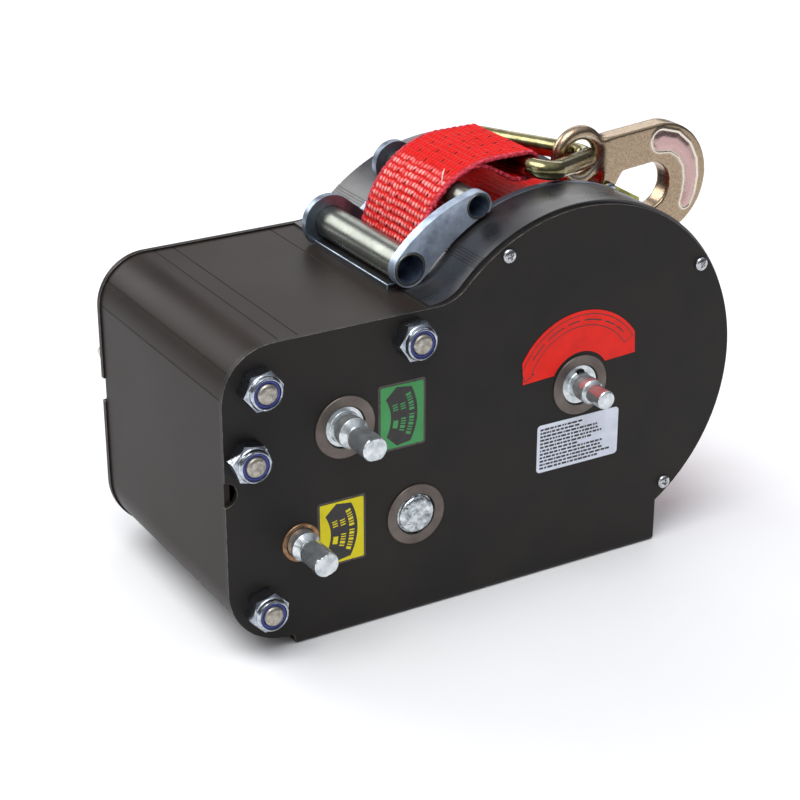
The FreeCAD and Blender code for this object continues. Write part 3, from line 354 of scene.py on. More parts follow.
@functools.cache
def forged_zinc():
    """Yellow passivated zinc on a blasted forging: straw, pinkish in the recess, pale as painted highlight on
    the recess rim and the eye.
    """
    material = metal("Yellow zinc on a blasted forging", "#b5a288", "#9a836d", (0.18, 0.34), 0.8, 0.5, 0.03)
    tree = material.node_tree
    shader = tree.nodes["Principled BSDF"]
    tone = shader.inputs["Base Color"].links[0].from_socket
    # The pale colour is a painted highlight on the recess rim and the eye; the pink in the recess is the
    # zinc's own tint
    for name, colour in (("sunk", "#c9a8a4"), ("painted_highlight", "#f6ecdd")):
        place = add(tree, "ShaderNodeAttribute", attribute_name=name).outputs["Fac"]
        tone = add(tree, "ShaderNodeMix", {0: place, 6: tone, 7: linear(colour)}, data_type="RGBA").outputs[2]
    tree.links.new(tone, shader.inputs["Base Color"])
    return material


@functools.cache
def latch_zinc():
    """Olive passivated zinc on folded sheet: matt, yellow-green."""
    return metal("Olive zinc on folded sheet", "#a7a556", "#7c7b38", (0.34, 0.48), 5.0, 0.6, 0.01)


@functools.cache
def nylon():
    """Nylon ring in a lock nut, moulded: waxy blue."""
    colours = bpy.context.scene.winch_colours
    return coated("Moulded nylon", colours.nylon, linear("#28306f"), (0.3, 0.4), 1.0, 0.01, patch=3.0)


@functools.cache
def dark_steel():
    """Blackened steel key: dark, with an oily shine."""
    return metal("Blackened steel", "#34363a", "#1d1e20", (0.3, 0.45), 2.0, 0.5, 0.02)


@functools.cache
def webbing():
    """Woven polyester webbing: rows of round cords, a silky shine on each, painted shade and dark tracer
    threads between, and a painted highlight on the crowns of one stretch.
    """
    sizes, colours = bpy.context.scene.winch_sizes, bpy.context.scene.winch_colours
    across, along, spacing = sizes.weave_across / MM, sizes.weave_along / MM, sizes.tracer_spacing / MM
    material, tree, shader = new_finish("Woven polyester webbing", {
        "Roughness": 0.4, "IOR": 1.55, "Specular IOR Level": 0.08,
    })
    place = add(tree, "ShaderNodeSeparateXYZ", {0: add(tree, "ShaderNodeUVMap").outputs[0]})
    value = {"u": place.outputs[0], "v": place.outputs[1]}
    # Filaments are 0.03 mm thick; they are drawn 0.5 mm apart, so that they show
    # The cords' crowns are painted pale as a highlight along one stretch of the free strap, each by its own
    # amount
    for name, kind, parts, settings in (
        ("cords", "Math", {0: "u", 1: across}, {"operation": "DIVIDE"}),
        ("column", "Math", {0: "cords"}, {"operation": "FLOOR"}),
        ("jog", "TexWhiteNoise", {"W": "column"}, {"noise_dimensions": "1D"}),
        ("rows", "Math", {0: "v", 1: along}, {"operation": "DIVIDE"}),
        ("jogged", "Math", {0: "jog", 1: 0.22}, {"operation": "MULTIPLY"}),
        ("row", "Math", {0: "rows", 1: "jogged"}, {"operation": "ADD"}),
        ("in_cord", "Math", {0: "cords"}, {"operation": "FRACT"}),
        ("in_row", "Math", {0: "row"}, {"operation": "FRACT"}),
        ("cord_turn", "Math", {0: "in_cord", 1: math.pi}, {"operation": "MULTIPLY"}),
        ("row_turn", "Math", {0: "in_row", 1: math.pi}, {"operation": "MULTIPLY"}),
        ("over", "Math", {0: "cord_turn"}, {"operation": "SINE"}),
        ("down", "Math", {0: "row_turn"}, {"operation": "SINE"}),
        ("lower", "Math", {0: "over", 1: 0.7}, {"operation": "MULTIPLY"}),
        ("crowned", "Math", {0: "lower", 1: 0.3}, {"operation": "ADD"}),
        ("bump", "Math", {0: "down", 1: "crowned"}, {"operation": "MULTIPLY"}),
        ("fibre_u", "Math", {0: "u", 1: 0.5}, {"operation": "DIVIDE"}),
        ("fibre_v", "Math", {0: "v", 1: 1.6}, {"operation": "DIVIDE"}),
        ("fibre_place", "CombineXYZ", {0: "fibre_u", 1: "fibre_v"}, {}),
        ("fibre", "TexNoise", {"Vector": "fibre_place", "Scale": 1.0, "Detail": 2.0}, {}),
        ("fuzz", "Math", {0: "fibre", 1: 0.9}, {"operation": "MULTIPLY"}),
        ("relief", "Math", {0: "bump", 1: "fuzz"}, {"operation": "ADD"}),
        # Painted shade: where the relief is low, between the cords, the colour goes to the darker red
        ("lit", "MapRange", {0: "relief", 1: 0.4, 2: 0.9, 3: 0.0, 4: 1.0}, {}),
        ("row_number", "Math", {0: "row"}, {"operation": "FLOOR"}),
        ("cord_number", "CombineXYZ", {0: "column", 1: "row_number"}, {}),
        ("own", "TexWhiteNoise", {"Vector": "cord_number"}, {"noise_dimensions": "2D"}),
        ("own_share", "Math", {0: "own", 1: 0.25}, {"operation": "ADD"}),
        ("begun", "MapRange", {0: "v", 1: HIGHLIGHT_STRETCH[0] - 8, 2: HIGHLIGHT_STRETCH[0] + 8}, {}),
        ("ended", "MapRange", {0: "v", 1: HIGHLIGHT_STRETCH[1] + 3, 2: HIGHLIGHT_STRETCH[1] - 3}, {}),
        ("crown", "MapRange", {0: "relief", 1: 0.8, 2: 1.35, 3: 0.0, 4: 1.0}, {}),
        ("stretch", "Math", {0: "begun", 1: "ended"}, {"operation": "MULTIPLY"}),
        ("tops", "Math", {0: "crown", 1: "own_share"}, {"operation": "MULTIPLY"}),
        ("painted_highlight", "Math", {0: "stretch", 1: "tops"}, {"operation": "MULTIPLY"}),
        ("shifted", "Math", {0: "u", 1: TRACER_SHIFT}, {"operation": "ADD"}),
        ("lane", "Math", {0: "shifted", 1: spacing}, {"operation": "DIVIDE"}),
        ("in_lane", "Math", {0: "lane"}, {"operation": "FRACT"}),
        ("lane_side", "Math", {0: "in_lane", 1: 0.5}, {"operation": "SUBTRACT"}),
        ("side", "Math", {0: "lane_side", 1: spacing}, {"operation": "MULTIPLY"}),
        ("row_side", "Math", {0: "in_row", 1: 0.5}, {"operation": "SUBTRACT"}),
        ("slant", "Math", {0: "row_side", 1: 1.2}, {"operation": "MULTIPLY"}),
        ("slanted", "Math", {0: "side", 1: "slant"}, {"operation": "ADD"}),
        ("off_lane", "Math", {0: "slanted"}, {"operation": "ABSOLUTE"}),
        ("on_lane", "Math", {0: "off_lane", 1: 0.4}, {"operation": "LESS_THAN"}),
        ("pairs", "Math", {0: "row", 1: 2.0}, {"operation": "DIVIDE"}),
        ("lane_number", "Math", {0: "lane"}, {"operation": "FLOOR"}),
        ("stagger", "Math", {0: "lane_number", 1: 0.5}, {"operation": "MULTIPLY"}),
        ("step", "Math", {0: "pairs", 1: "stagger"}, {"operation": "ADD"}),
        ("in_step", "Math", {0: "step"}, {"operation": "FRACT"}),
        ("on_dash", "Math", {0: "in_step", 1: 0.24}, {"operation": "LESS_THAN"}),
        ("tracer", "Math", {0: "on_lane", 1: "on_dash"}, {"operation": "MULTIPLY"}),
    ):
        inputs = {socket: value.get(part, part) for socket, part in parts.items()}
        value[name] = add(tree, "ShaderNode" + kind, inputs, **settings).outputs[0]
    # The darker red under the other layers is painted shade in the weave's hollows
    tone = colours.webbing_valley_shade
    # The pale pink layer is a painted highlight on the crowns of one stretch
    layers = {"lit": colours.webbing, "painted_highlight": linear("#ffaeaa"), "tracer": linear("#3a0c09")}
    for share, colour in layers.items():
        tone = add(tree, "ShaderNodeMix", {0: value[share], 6: tone, 7: colour}, data_type="RGBA").outputs[2]
    tree.links.new(tone, shader.inputs["Base Color"])
    set_bump(tree, shader, value["relief"], 0.4)
    return material


@functools.cache
def webbing_edge():
    """Selvedge of the webbing, turned round by the weft: rough and crimson, with broken filaments."""
    material, tree, shader = new_finish("Webbing selvedge", {
        "Roughness": 0.75, "IOR": 1.5, "Specular IOR Level": 0.3,
        "Sheen Weight": 0.12, "Sheen Roughness": 0.5, "Sheen Tint": linear("#ff8f9a"),
    })
    place = add(tree, "ShaderNodeTexCoord").outputs["Object"]
    fuzz = add(tree, "ShaderNodeTexNoise", {
        "Vector": place, "Scale": per(1.7), "Detail": 5.0, "Roughness": 0.7,
    }).outputs[0]
    share = add(tree, "ShaderNodeMapRange", {0: fuzz, 1: 0.38, 2: 0.62, 3: 0.0, 4: 1.0}).outputs[0]
    dark, pale = linear("#8a0718"), linear("#f2485c")
    tone = add(tree, "ShaderNodeMix", {0: share, 6: dark, 7: pale}, data_type="RGBA")
    tree.links.new(tone.outputs[2], shader.inputs["Base Color"])
    set_bump(tree, shader, fuzz, 1.0)
    return material


@functools.cache
def sewing_thread():
    """Bonded polyester sewing thread: off-white, twisted, with a soft sheen."""
    return coated("Bonded sewing thread", linear("#e9d9d2"), linear("#d8b6ae"), (0.5, 0.65), 0.6, 0.05,
                  patch=2.0)


def film(name, colour):
    """Printed vinyl film, screen printed: even colour, half gloss, faintly rippled."""
    worn = tuple(0.86 * c for c in tuple(colour)[:3]) + (1.0,)
    return coated(name, colour, worn, (0.3, 0.42), 5.0, 0.01, patch=8.0, shine=0.25)


@functools.cache
def ink():
    """Screen print ink on film: flat black with a soft shine."""
    colours = bpy.context.scene.winch_colours
    return coated("Screen print ink", colours.print_ink, linear("#332e2d"), (0.4, 0.5), 2.0, 0.005,
                  patch=6.0)


@functools.cache
def film_margin():
    """Clear film beyond a label's print: shows the coat under it, a little lighter and glossier."""
    return coated("Clear film margin", linear("#3b3230"), linear("#4a4340"), (0.25, 0.35), 4.0, 0.01,
                  patch=5.0)


def rounded_run(points, radii, steps=6):
    """Points of a run whose inner corners are turned to arcs of the given radii."""
    points = [Vector(point) for point in points]
    run = [points[0]]
    for before, corner, after, radius in zip(points, points[1:], points[2:], radii):
        into, out = (before - corner).normalized(), (after - corner).normalized()
        half = into.angle(out) / 2
        if radius <= 0 or half > math.radians(89.5):
            run.append(corner)
            continue
        centre = corner + (into + out).normalized() * (radius / math.sin(half))
        first = corner + into * (radius / math.tan(half)) - centre
        last = corner + out * (radius / math.tan(half)) - centre
        sweep = math.pi - 2 * half
        for step in range(steps + 1):
            part = step / steps
            spread = first * math.sin((1 - part) * sweep) + last * math.sin(part * sweep)
            run.append(centre + spread / math.sin(sweep))
    run.append(points[-1])
    return run


def arc_run(centre, radius, first, last, step=1.5):
    """Points on an arc seen from the side, from one polar angle to another, in degrees."""
    count = max(2, math.ceil(abs(math.radians(last - first)) * radius / step))
    angles = [math.radians(first + (last - first) * i / count) for i in range(count + 1)]
    return [Vector((centre[0] + radius * math.cos(a), centre[1] + radius * math.sin(a))) for a in angles]


def lengths_of(run):
    """Distance of each point along a run."""
    distances = [0.0]
    for first, last in zip(run, run[1:]):
        distances.append(distances[-1] + (last - first).length)
    return distances


def point_on(run, distances, distance):
    """Point and direction of a run at a distance along it."""
    for i in range(len(run) - 2):
        if distances[i + 1] >= distance:
            break
    else:
        i = len(run) - 2
    leg = run[i + 1] - run[i]
    part = (distance - distances[i]) / max(distances[i + 1] - distances[i], 1e-9)
    return run[i] + leg * part, leg.normalized()


def even_run(run, step):
    """The run again with points an even step apart, and their directions."""
    distances = lengths_of(run)
    count = max(2, round(distances[-1] / step))
    spots = [distances[-1] * i / count for i in range(count + 1)]
    points, ways = zip(*[point_on(run, distances, spot) for spot in spots])
    nothing = Vector((0,) * len(ways[0]))
    eased = []
    for i in range(count + 1):
        near = [ways[min(max(i + k, 0), count)] for k in (-1, 0, 1)]
        eased.append(sum(near, nothing).normalized())
    return list(points), eased, spots


def relief_run(run, marks):
    """The run with small ribs or grooves: each mark is distance, half width and height outwards."""
    distances = lengths_of(run)
    stations = [(d, 0.0) for d in distances if all(abs(d - spot) > half for spot, half, rise in marks)]
    for spot, half, rise in marks:
        crest = half * 0.55
        stations += [(spot - half, 0.0), (spot - crest, rise), (spot + crest, rise), (spot + half, 0.0)]
    raised = []
    for distance, rise in sorted(stations):
        point, way = point_on(run, distances, distance)
        raised.append(point + Vector((-way.y, way.x)) * rise)
    return raised


def build_mesh(name, points, faces, spots=None):
    """Mesh from points in millimetres; spots are one UV pair for each corner of each face."""
    mesh = bpy.data.meshes.new(name)
    mesh.from_pydata([Vector(point) * MM for point in points], [], faces)
    if spots:
        layer = mesh.uv_layers.new(name="UVMap")
        layer.data.foreach_set("uv", [value for spot in spots for value in spot])
    mesh.polygons.foreach_set("use_smooth", [True] * len(mesh.polygons))
    mesh.set_sharp_from_angle(angle=SHARP_ANGLE)
    return mesh


def loft(name, rings, along, around):
    """Mesh through closed rings of equal count; along and around are the UV runs of rings and points."""
    count = len(rings[0])
    points = [point for ring in rings for point in ring]
    faces, spots = [], []
    for i in range(len(rings) - 1):
        for j in range(count):
            k = (j + 1) % count
            faces.append((i * count + j, i * count + k, (i + 1) * count + k, (i + 1) * count + j))
            here, there = around[j], around[j + 1]
            spots += [(along[i], here), (along[i], there), (along[i + 1], there), (along[i + 1], here)]
    return build_mesh(name, points, faces, spots)


def turned(name, axis, profile, corners=(), count=96):
    """Mesh turned round a line along Y: radius and y pairs, either of which may depend on the angle."""
    angles = sorted({i * 360 / count for i in range(count)} | {corner % 360 for corner in corners})
    rings, along, last = [], [], None
    for radius, y in profile:
        ring = []
        for degrees in angles:
            r = radius(degrees) if callable(radius) else radius
            height = y(degrees) if callable(y) else y
            turn = math.radians(degrees)
            ring.append(Vector((axis[0] + r * math.cos(turn), height, axis[1] + r * math.sin(turn))))
        along.append(along[-1] + (ring[0] - last).length if rings else 0.0)
        last = ring[0]
        rings.append(ring)
    around = [degrees / 360 for degrees in angles] + [1.0]
    return loft(name, rings, along, around)


def prism(name, outline, low, high):
    """Solid along Y whose side view is a closed outline of x and z pairs."""
    count = len(outline)
    points = [(point[0], y, point[1]) for y in (low, high) for point in outline]
    faces = [(j, (j + 1) % count, count + (j + 1) % count, count + j) for j in range(count)]
    faces.append(tuple(reversed(range(count))))
    faces.append(tuple(range(count, 2 * count)))
    return build_mesh(name, points, faces)


def face_outwards(mesh):
    """Turn the faces of a closed mesh so that they all look out."""
    shape = bmesh.new()
    shape.from_mesh(mesh)
    bmesh.ops.recalc_face_normals(shape, faces=shape.faces)
    shape.to_mesh(mesh)
    shape.free()


def put(name, data, spot=(0, 0, 0)):
    """Object in the scene, at a place in millimetres."""
    thing = bpy.data.objects.new(name, data)
    bpy.context.scene.collection.objects.link(thing)
    thing.location = Vector(spot) * MM
    return thing


def place(mesh, body, finishes, slot=None, nodes=()):
    """Piece of the winch that rides on a body, with its finishes and the nodes it stands for."""
    face_outwards(mesh)
    piece = put(mesh.name, mesh)
    for finish in finishes:
        mesh.materials.append(finish)
    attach(piece, body)
    if nodes:
        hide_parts(*nodes)
    return piece


def polar(centre, radius, degrees):
    """Point of the side view at that distance and angle from a centre."""
    turn = math.radians(degrees)
    return centre[0] + radius * math.cos(turn), centre[1] + radius * math.sin(turn)


def round_ring(middle, first, second, radius, count):
    """Points of a round section in the plane of two directions."""
    turns = [2 * math.pi * i / count for i in range(count)]
    return [middle + (first * math.cos(turn) + second * math.sin(turn)) * radius for turn in turns]


def joined(name, meshes):
    """One mesh of several like ones."""
    shape = bmesh.new()
    for mesh in meshes:
        shape.from_mesh(mesh)
    whole = bpy.data.meshes.new(name)
    shape.to_mesh(whole)
    shape.free()
    whole.set_sharp_from_angle(angle=SHARP_ANGLE)
    return whole


def rounded_copy(name, node, body, finishes, slot, width, segments=2, edge_finish=0):
    """Copy of a node's own shape with its sharp edges rounded to a width in metres."""
    shape = bmesh.new()
    shape.from_mesh(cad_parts[node].data)
    bmesh.ops.remove_doubles(shape, verts=shape.verts, dist=WELD)
    bmesh.ops.dissolve_limit(shape, angle_limit=math.radians(0.4), verts=shape.verts, edges=shape.edges)
    for face in shape.faces:
        face.smooth = True
        face.material_index = 0
    mesh = bpy.data.meshes.new(name)
    shape.to_mesh(mesh)
    shape.free()
    for left_over in ("custom_normal", "sharp_edge", "sharp_face"):
        if left_over in mesh.attributes:
            mesh.attributes.remove(mesh.attributes[left_over])
    piece = place(mesh, body, finishes, slot, (node,))
    bevel = piece.modifiers.new("Rounded edges", "BEVEL")
    bevel.width = width
    bevel.segments = segments
    bevel.limit_method = "ANGLE"
    bevel.angle_limit = math.radians(30)
    bevel.material = edge_finish
    normals = piece.modifiers.new("Even shading", "WEIGHTED_NORMAL")
    normals.keep_sharp = False
    return piece


class WINCH_OT_side_plates(bpy.types.Operator):
    """Coated side plates with their turned-in feet"""
    bl_idname = "winch.side_plates"
    bl_label = "Side plates"

    def execute(self, context):
        for side in ("front", "rear"):
            rounded_copy(f"{side}_plate_coated", f"{side}_plate", "housing", (powder_coat(), worn_edge()),
                         "black_plate", context.scene.winch_sizes.plate_edge, edge_finish=1)
        return {"FINISHED"}


class WINCH_OT_inner_plates(bpy.types.Operator):
    """Zinc plated inner plates beside the drum, the rear one with the guide ears"""
    bl_idname = "winch.inner_plates"
    bl_label = "Inner plates"

    def execute(self, context):
        for side in ("front", "rear"):
            rounded_copy(f"{side}_inner_plate_zinc", f"{side}_inner_plate", "housing", (blue_zinc(),),
                         "zinc_plate", context.scene.winch_sizes.cheek_edge, segments=3)
        return {"FINISHED"}


# Side view of the shell: mouth, walls and corner radii of its outer face
SHELL_MOUTH, SHELL_LEFT, SHELL_TOP, SHELL_LOW, SHELL_WALL = -33.5, -150.5, 169.0, 7.0, 3.0
SHELL_CORNERS = (27.0, 33.0)
SHELL_GROOVES = (15.0, 73.5, 84.5, 116.5, 130.3)


class WINCH_OT_shell(bpy.types.Operator):
    """Drawn shell round the gear end, with the lines that its die leaves"""
    bl_idname = "winch.shell"
    bl_label = "End shell"

    def execute(self, context):
        depth = context.scene.winch_sizes.groove_depth / MM
        mouth, left, top, low, wall = SHELL_MOUTH, SHELL_LEFT, SHELL_TOP, SHELL_LOW, SHELL_WALL
        outside = rounded_run([(mouth, top), (left, top), (left, low), (mouth, low)], SHELL_CORNERS, 30)
        outside = relief_run(outside, [(spot, 0.45, depth) for spot in SHELL_GROOVES])
        inside = rounded_run([(mouth, top - wall), (left + wall, top - wall), (left + wall, low + wall),
                              (mouth, low + wall)], [radius - wall for radius in SHELL_CORNERS], 30)
        mesh = prism("end_shell_drawn", outside + inside[::-1], *reach_of("end_shell"))
        place(mesh, "housing", (drawn_shell(),), "shell", ("end_shell",))
        return {"FINISHED"}


# Side view of a drum band: outer radius, level top and upright end
BAND_REACH, BAND_TOP, BAND_END, BAND_WALL, BAND_START, BAND_FLOOR = 101.2, 170.2, 113.0, 2.0, -33.2, 3.3
NECK_RADIUS = 24.0
RIB_ANGLES = {"front": (126.4, 127.3, 128.2, 129.1, 130.0), "rear": (128.6, 129.5, 130.4, 131.3, 132.2)}


def band_run(reach, top, end):
    """Side view of one face of a band, from its start on the level top to its lower end."""
    rise = top + NECK_RADIUS - DRUM_AXIS[1]
    neck = (DRUM_AXIS[0] - math.sqrt((reach + NECK_RADIUS) ** 2 - rise ** 2), top + NECK_RADIUS)
    slope = math.degrees(math.atan2(rise, DRUM_AXIS[0] - neck[0]))
    foot = -math.degrees(math.acos((end - DRUM_AXIS[0]) / reach))
    start = [Vector((BAND_START, top))]
    curve = arc_run(neck, NECK_RADIUS, -90, -slope) + arc_run(DRUM_AXIS, reach, 180 - slope, foot)[1:]
    return start + curve + [Vector((end, BAND_FLOOR))], slope


class WINCH_OT_bands(bpy.types.Operator):
    """Rolled bands that close the gap between each side plate and its inner plate"""
    bl_idname = "winch.bands"
    bl_label = "Drum bands"

    def execute(self, context):
        rise = context.scene.winch_sizes.rib_height / MM
        for side, angles in RIB_ANGLES.items():
            outer, slope = band_run(BAND_REACH, BAND_TOP, BAND_END)
            level = lengths_of(outer)[len(arc_run((0, 0), NECK_RADIUS, -90, -slope))]
            marks = [(level + math.radians(180 - slope - angle) * BAND_REACH, 0.5, rise) for angle in angles]
            outer = relief_run(outer, marks)
            inner = band_run(BAND_REACH - BAND_WALL, BAND_TOP - BAND_WALL, BAND_END - BAND_WALL)[0]
            mesh = prism(f"{side}_band_rolled", outer + inner[::-1], *reach_of(f"{side}_band"))
            place(mesh, "housing", (band_coat(),), "band", (f"{side}_band",))
        return {"FINISHED"}


RING_DEPTH, RING_CHAMFER = 9.0, 0.35


def ring_profile(outer, bore, first, last):
    """Closed profile of a ring with small chamfers."""
    edge = RING_CHAMFER
    return [
        (bore, first + edge), (bore + edge, first), (outer - edge, first), (outer, first + edge),
        (outer, last - edge), (outer - edge, last), (bore + edge, last), (bore, last - edge),
        (bore, first + edge),
    ]


class WINCH_OT_rings(bpy.types.Operator):
    """Turned bearing rings, and the bronze bushes of the lower shaft"""
    bl_idname = "winch.rings"
    bl_label = "Bearing rings"

    def execute(self, context):
        for node, outer, bore, finish, slot in (
            ("upper_shaft_rings", 17.0, 11.25, turned_ring, "ring_steel"),
            ("middle_shaft_rings", 17.0, 11.25, turned_ring, "ring_steel"),
            ("drum_axis_rings", 17.0, 11.25, turned_ring, "ring_steel"),
            ("lower_shaft_bushes", 10.6, 8.2, turned_bronze, "bronze"),
        ):
            low, high = reach_of(node)
            pair = [turned(node, axis_of(node), ring_profile(outer, bore, *ends))
                    for ends in ((low, low + RING_DEPTH), (high - RING_DEPTH, high))]
            place(joined(node + "_turned", pair), "housing", (finish(),), slot, (node,))
        return {"FINISHED"}


# Across flats, hexagon and collar of a lock nut, its height, and the circle that its chamfers leave
NUT_FLATS, NUT_HEX, NUT_COLLAR, NUT_HEIGHT = 19.0, 8.6, 8.7, 12.0
FLAT_CIRCLE = NUT_FLATS / 2 * 0.97
BOLT_RADIUS, HEAD_HEIGHT = 6.0, 7.5


def chamfered(turn, face, direction):
    """Profile point where a hexagon meets its chamfer cone, as two functions of the angle."""
    def radius(degrees):
        return NUT_FLATS / 2 / math.cos(math.radians((degrees - turn) % 60 - 30))

    return radius, lambda degrees: face + direction * 0.62 * (radius(degrees) - FLAT_CIRCLE)


class WINCH_OT_tie_bolts(bpy.types.Operator):
    """Tie bolts through the housing, with lock nuts and their nylon rings at the front"""
    bl_idname = "winch.tie_bolts"
    bl_label = "Tie bolts and lock nuts"

    def execute(self, context):
        bolts, nuts, inserts = [], [], []
        for axis, turn in zip(TIE_AXES, TIE_TURNS):
            corners = [turn + 60 * i for i in range(6)] + [turn + 30 + 60 * i for i in range(6)]
            rim, face, head = FRONT_FACE - NUT_HEIGHT, FRONT_FACE - NUT_HEX, BACK_FACE + HEAD_HEIGHT
            tip = rim - 1.2
            bolts.append(turned("tie_bolt", axis, [
                (CENTRE, tip), (3.4, tip + 0.05), (4.4, tip + 0.3), (5.1, tip + 0.9), (5.5, tip + 1.8),
                (BOLT_RADIUS - 0.3, FRONT_FACE), (BOLT_RADIUS, BACK_FACE), (FLAT_CIRCLE, BACK_FACE),
                chamfered(turn, BACK_FACE, 1), chamfered(turn, head, -1),
                (FLAT_CIRCLE, head), (7.4, head + 0.02), (7.0, head - 0.25), (CENTRE, head - 0.25),
            ], corners))
            nuts.append(turned("lock_nut", axis, [
                (6.4, FRONT_FACE), (FLAT_CIRCLE, FRONT_FACE),
                chamfered(turn, FRONT_FACE, -1), chamfered(turn, face, 1),
                (FLAT_CIRCLE, face), (NUT_COLLAR + 0.25, face - 0.25), (NUT_COLLAR, face - 0.6),
                (NUT_COLLAR, rim + 1.1), (NUT_COLLAR - 0.35, rim + 0.35), (NUT_COLLAR - 0.95, rim),
                (NUT_COLLAR - 1.35, rim + 0.15), (NUT_COLLAR - 1.55, rim + 0.7),
                (NUT_COLLAR - 1.6, rim + 2.2),
            ], corners))
            inserts.append(turned("nylon_ring", axis, [
                (NUT_COLLAR - 1.6, rim + 1.4), (NUT_COLLAR - 1.62, rim + 0.75), (6.75, rim + 0.45),
                (6.3, rim + 0.45), (5.75, rim + 0.7), (5.6, rim + 1.6),
            ], count=64))
        place(joined("tie_bolts_zinc", bolts), "housing", (bolt_zinc(),), "bright_zinc", ("tie_bolts",))
        place(joined("lock_nuts_zinc", nuts), "housing", (nut_zinc(),), "bright_zinc", ("lock_nuts",))
        place(joined("lock_nut_nylon", inserts), "housing", (nylon(),))
        return {"FINISHED"}


def screw_head(name, axis, side, turn):
    """Pan head with a cross recess, as one turned sheet whose height depends on the place."""
    radius, height, arm, half_arm, depth = 4.0, 2.6, 2.1, 0.5, 1.5
    face = side * abs(FRONT_FACE)

    def recess(r, degrees):
        first, second = (abs(r * math.cos(math.radians(degrees - turn - quarter))) for quarter in (0, 90))
        inside = max(min((half_arm - low) / 0.16, (arm - high) / 0.4)
                     for low, high in ((first, second), (second, first)))
        return depth * min(1.0, max(0.0, inside)) * max(0.0, 1 - r / 4.2)

    def rise(r):
        return lambda degrees: face + side * (height - 0.07 * r * r - recess(r, degrees))

    fine = [CENTRE + 0.1 * i for i in range(25)]
    profile = [(r, rise(r)) for r in fine] + [(2.9, rise(2.9)), (3.3, rise(3.3))]
    profile += [(3.7, face + side * 1.35), (3.95, face + side * 0.85), (radius, face + side * 0.3)]
    profile += [(radius, face), (2.0, face), (2.0, face - side * 6.0), (CENTRE, face - side * 6.0)]
    return turned(name, axis, profile, count=72)


class WINCH_OT_cover_screws(bpy.types.Operator):
    """Cross-recessed screws round the drum, front and rear"""
    bl_idname = "winch.cover_screws"
    bl_label = "Cover screws"

    def execute(self, context):
        for side, sign in (("front", -1), ("rear", 1)):
            heads = []
            for number, angle in enumerate(SCREW_ANGLES):
                axis = polar(DRUM_AXIS, SCREW_CIRCLE, angle)
                heads.append(screw_head("screw", axis, sign, 20 + 31 * number))
            place(joined(f"{side}_cover_screws_steel", heads), "housing", (stainless(),), "screw_steel",
                  (f"{side}_cover_screws",))
        return {"FINISHED"}


# Radius of a crank end, its width across flats, its waist, and the part of a shaft that turns in the rings
CRANK_END, CRANK_FLATS, CRANK_WAIST, SHAFT_JOURNAL = 6.7, 11.3, 5.3, 11.0


def flatted(radius, turn):
    """Radius of a round bar with two flats, whose normals stand at that turn, by the angle."""
    def at(degrees):
        lean = abs(math.cos(math.radians(degrees - turn)))
        return min(radius, CRANK_FLATS / 2 / lean) if lean > 0.05 else radius
    return at


def inner_end(journal, back):
    """Profile of a shaft from its front ring to its back end."""
    return [(journal, FRONT_FACE + 0.3), (journal, back - 0.3), (journal - 0.3, back), (CENTRE, back)]


def crank_mesh(name, axis, journal, collar, reach, turn):
    """Shaft with a disc flush in its ring, a collar, a waist and a crank end with two flats."""
    tip, root = FRONT_FACE - reach, FRONT_FACE - reach + 16.5
    waist = root + 5.5
    half = math.degrees(math.acos(CRANK_FLATS / 2 / CRANK_END))
    corners = [turn + flip + lean for flip in (0, 180) for lean in (-half, half)]
    return turned(name, axis, [
        (CENTRE, tip), (flatted(CRANK_END - 1.1, turn), tip), (flatted(CRANK_END - 0.45, turn), tip + 0.25),
        (flatted(CRANK_END, turn), tip + 0.9), (flatted(CRANK_END, turn), root - 0.4),
        (flatted(CRANK_END - 0.3, turn), root), (CRANK_WAIST + 0.25, root + 1.9), (CRANK_WAIST, root + 2.4),
        (CRANK_WAIST, root + 3.0), (CRANK_WAIST + 0.35, root + 3.3), (collar - 0.5, waist - 0.5),
        (collar, waist), (collar, FRONT_FACE - 0.35), (min(collar + 0.35, journal), FRONT_FACE - 0.02),
        (journal - 0.3, FRONT_FACE - 0.02), *inner_end(journal, BACK_FACE),
    ], corners)


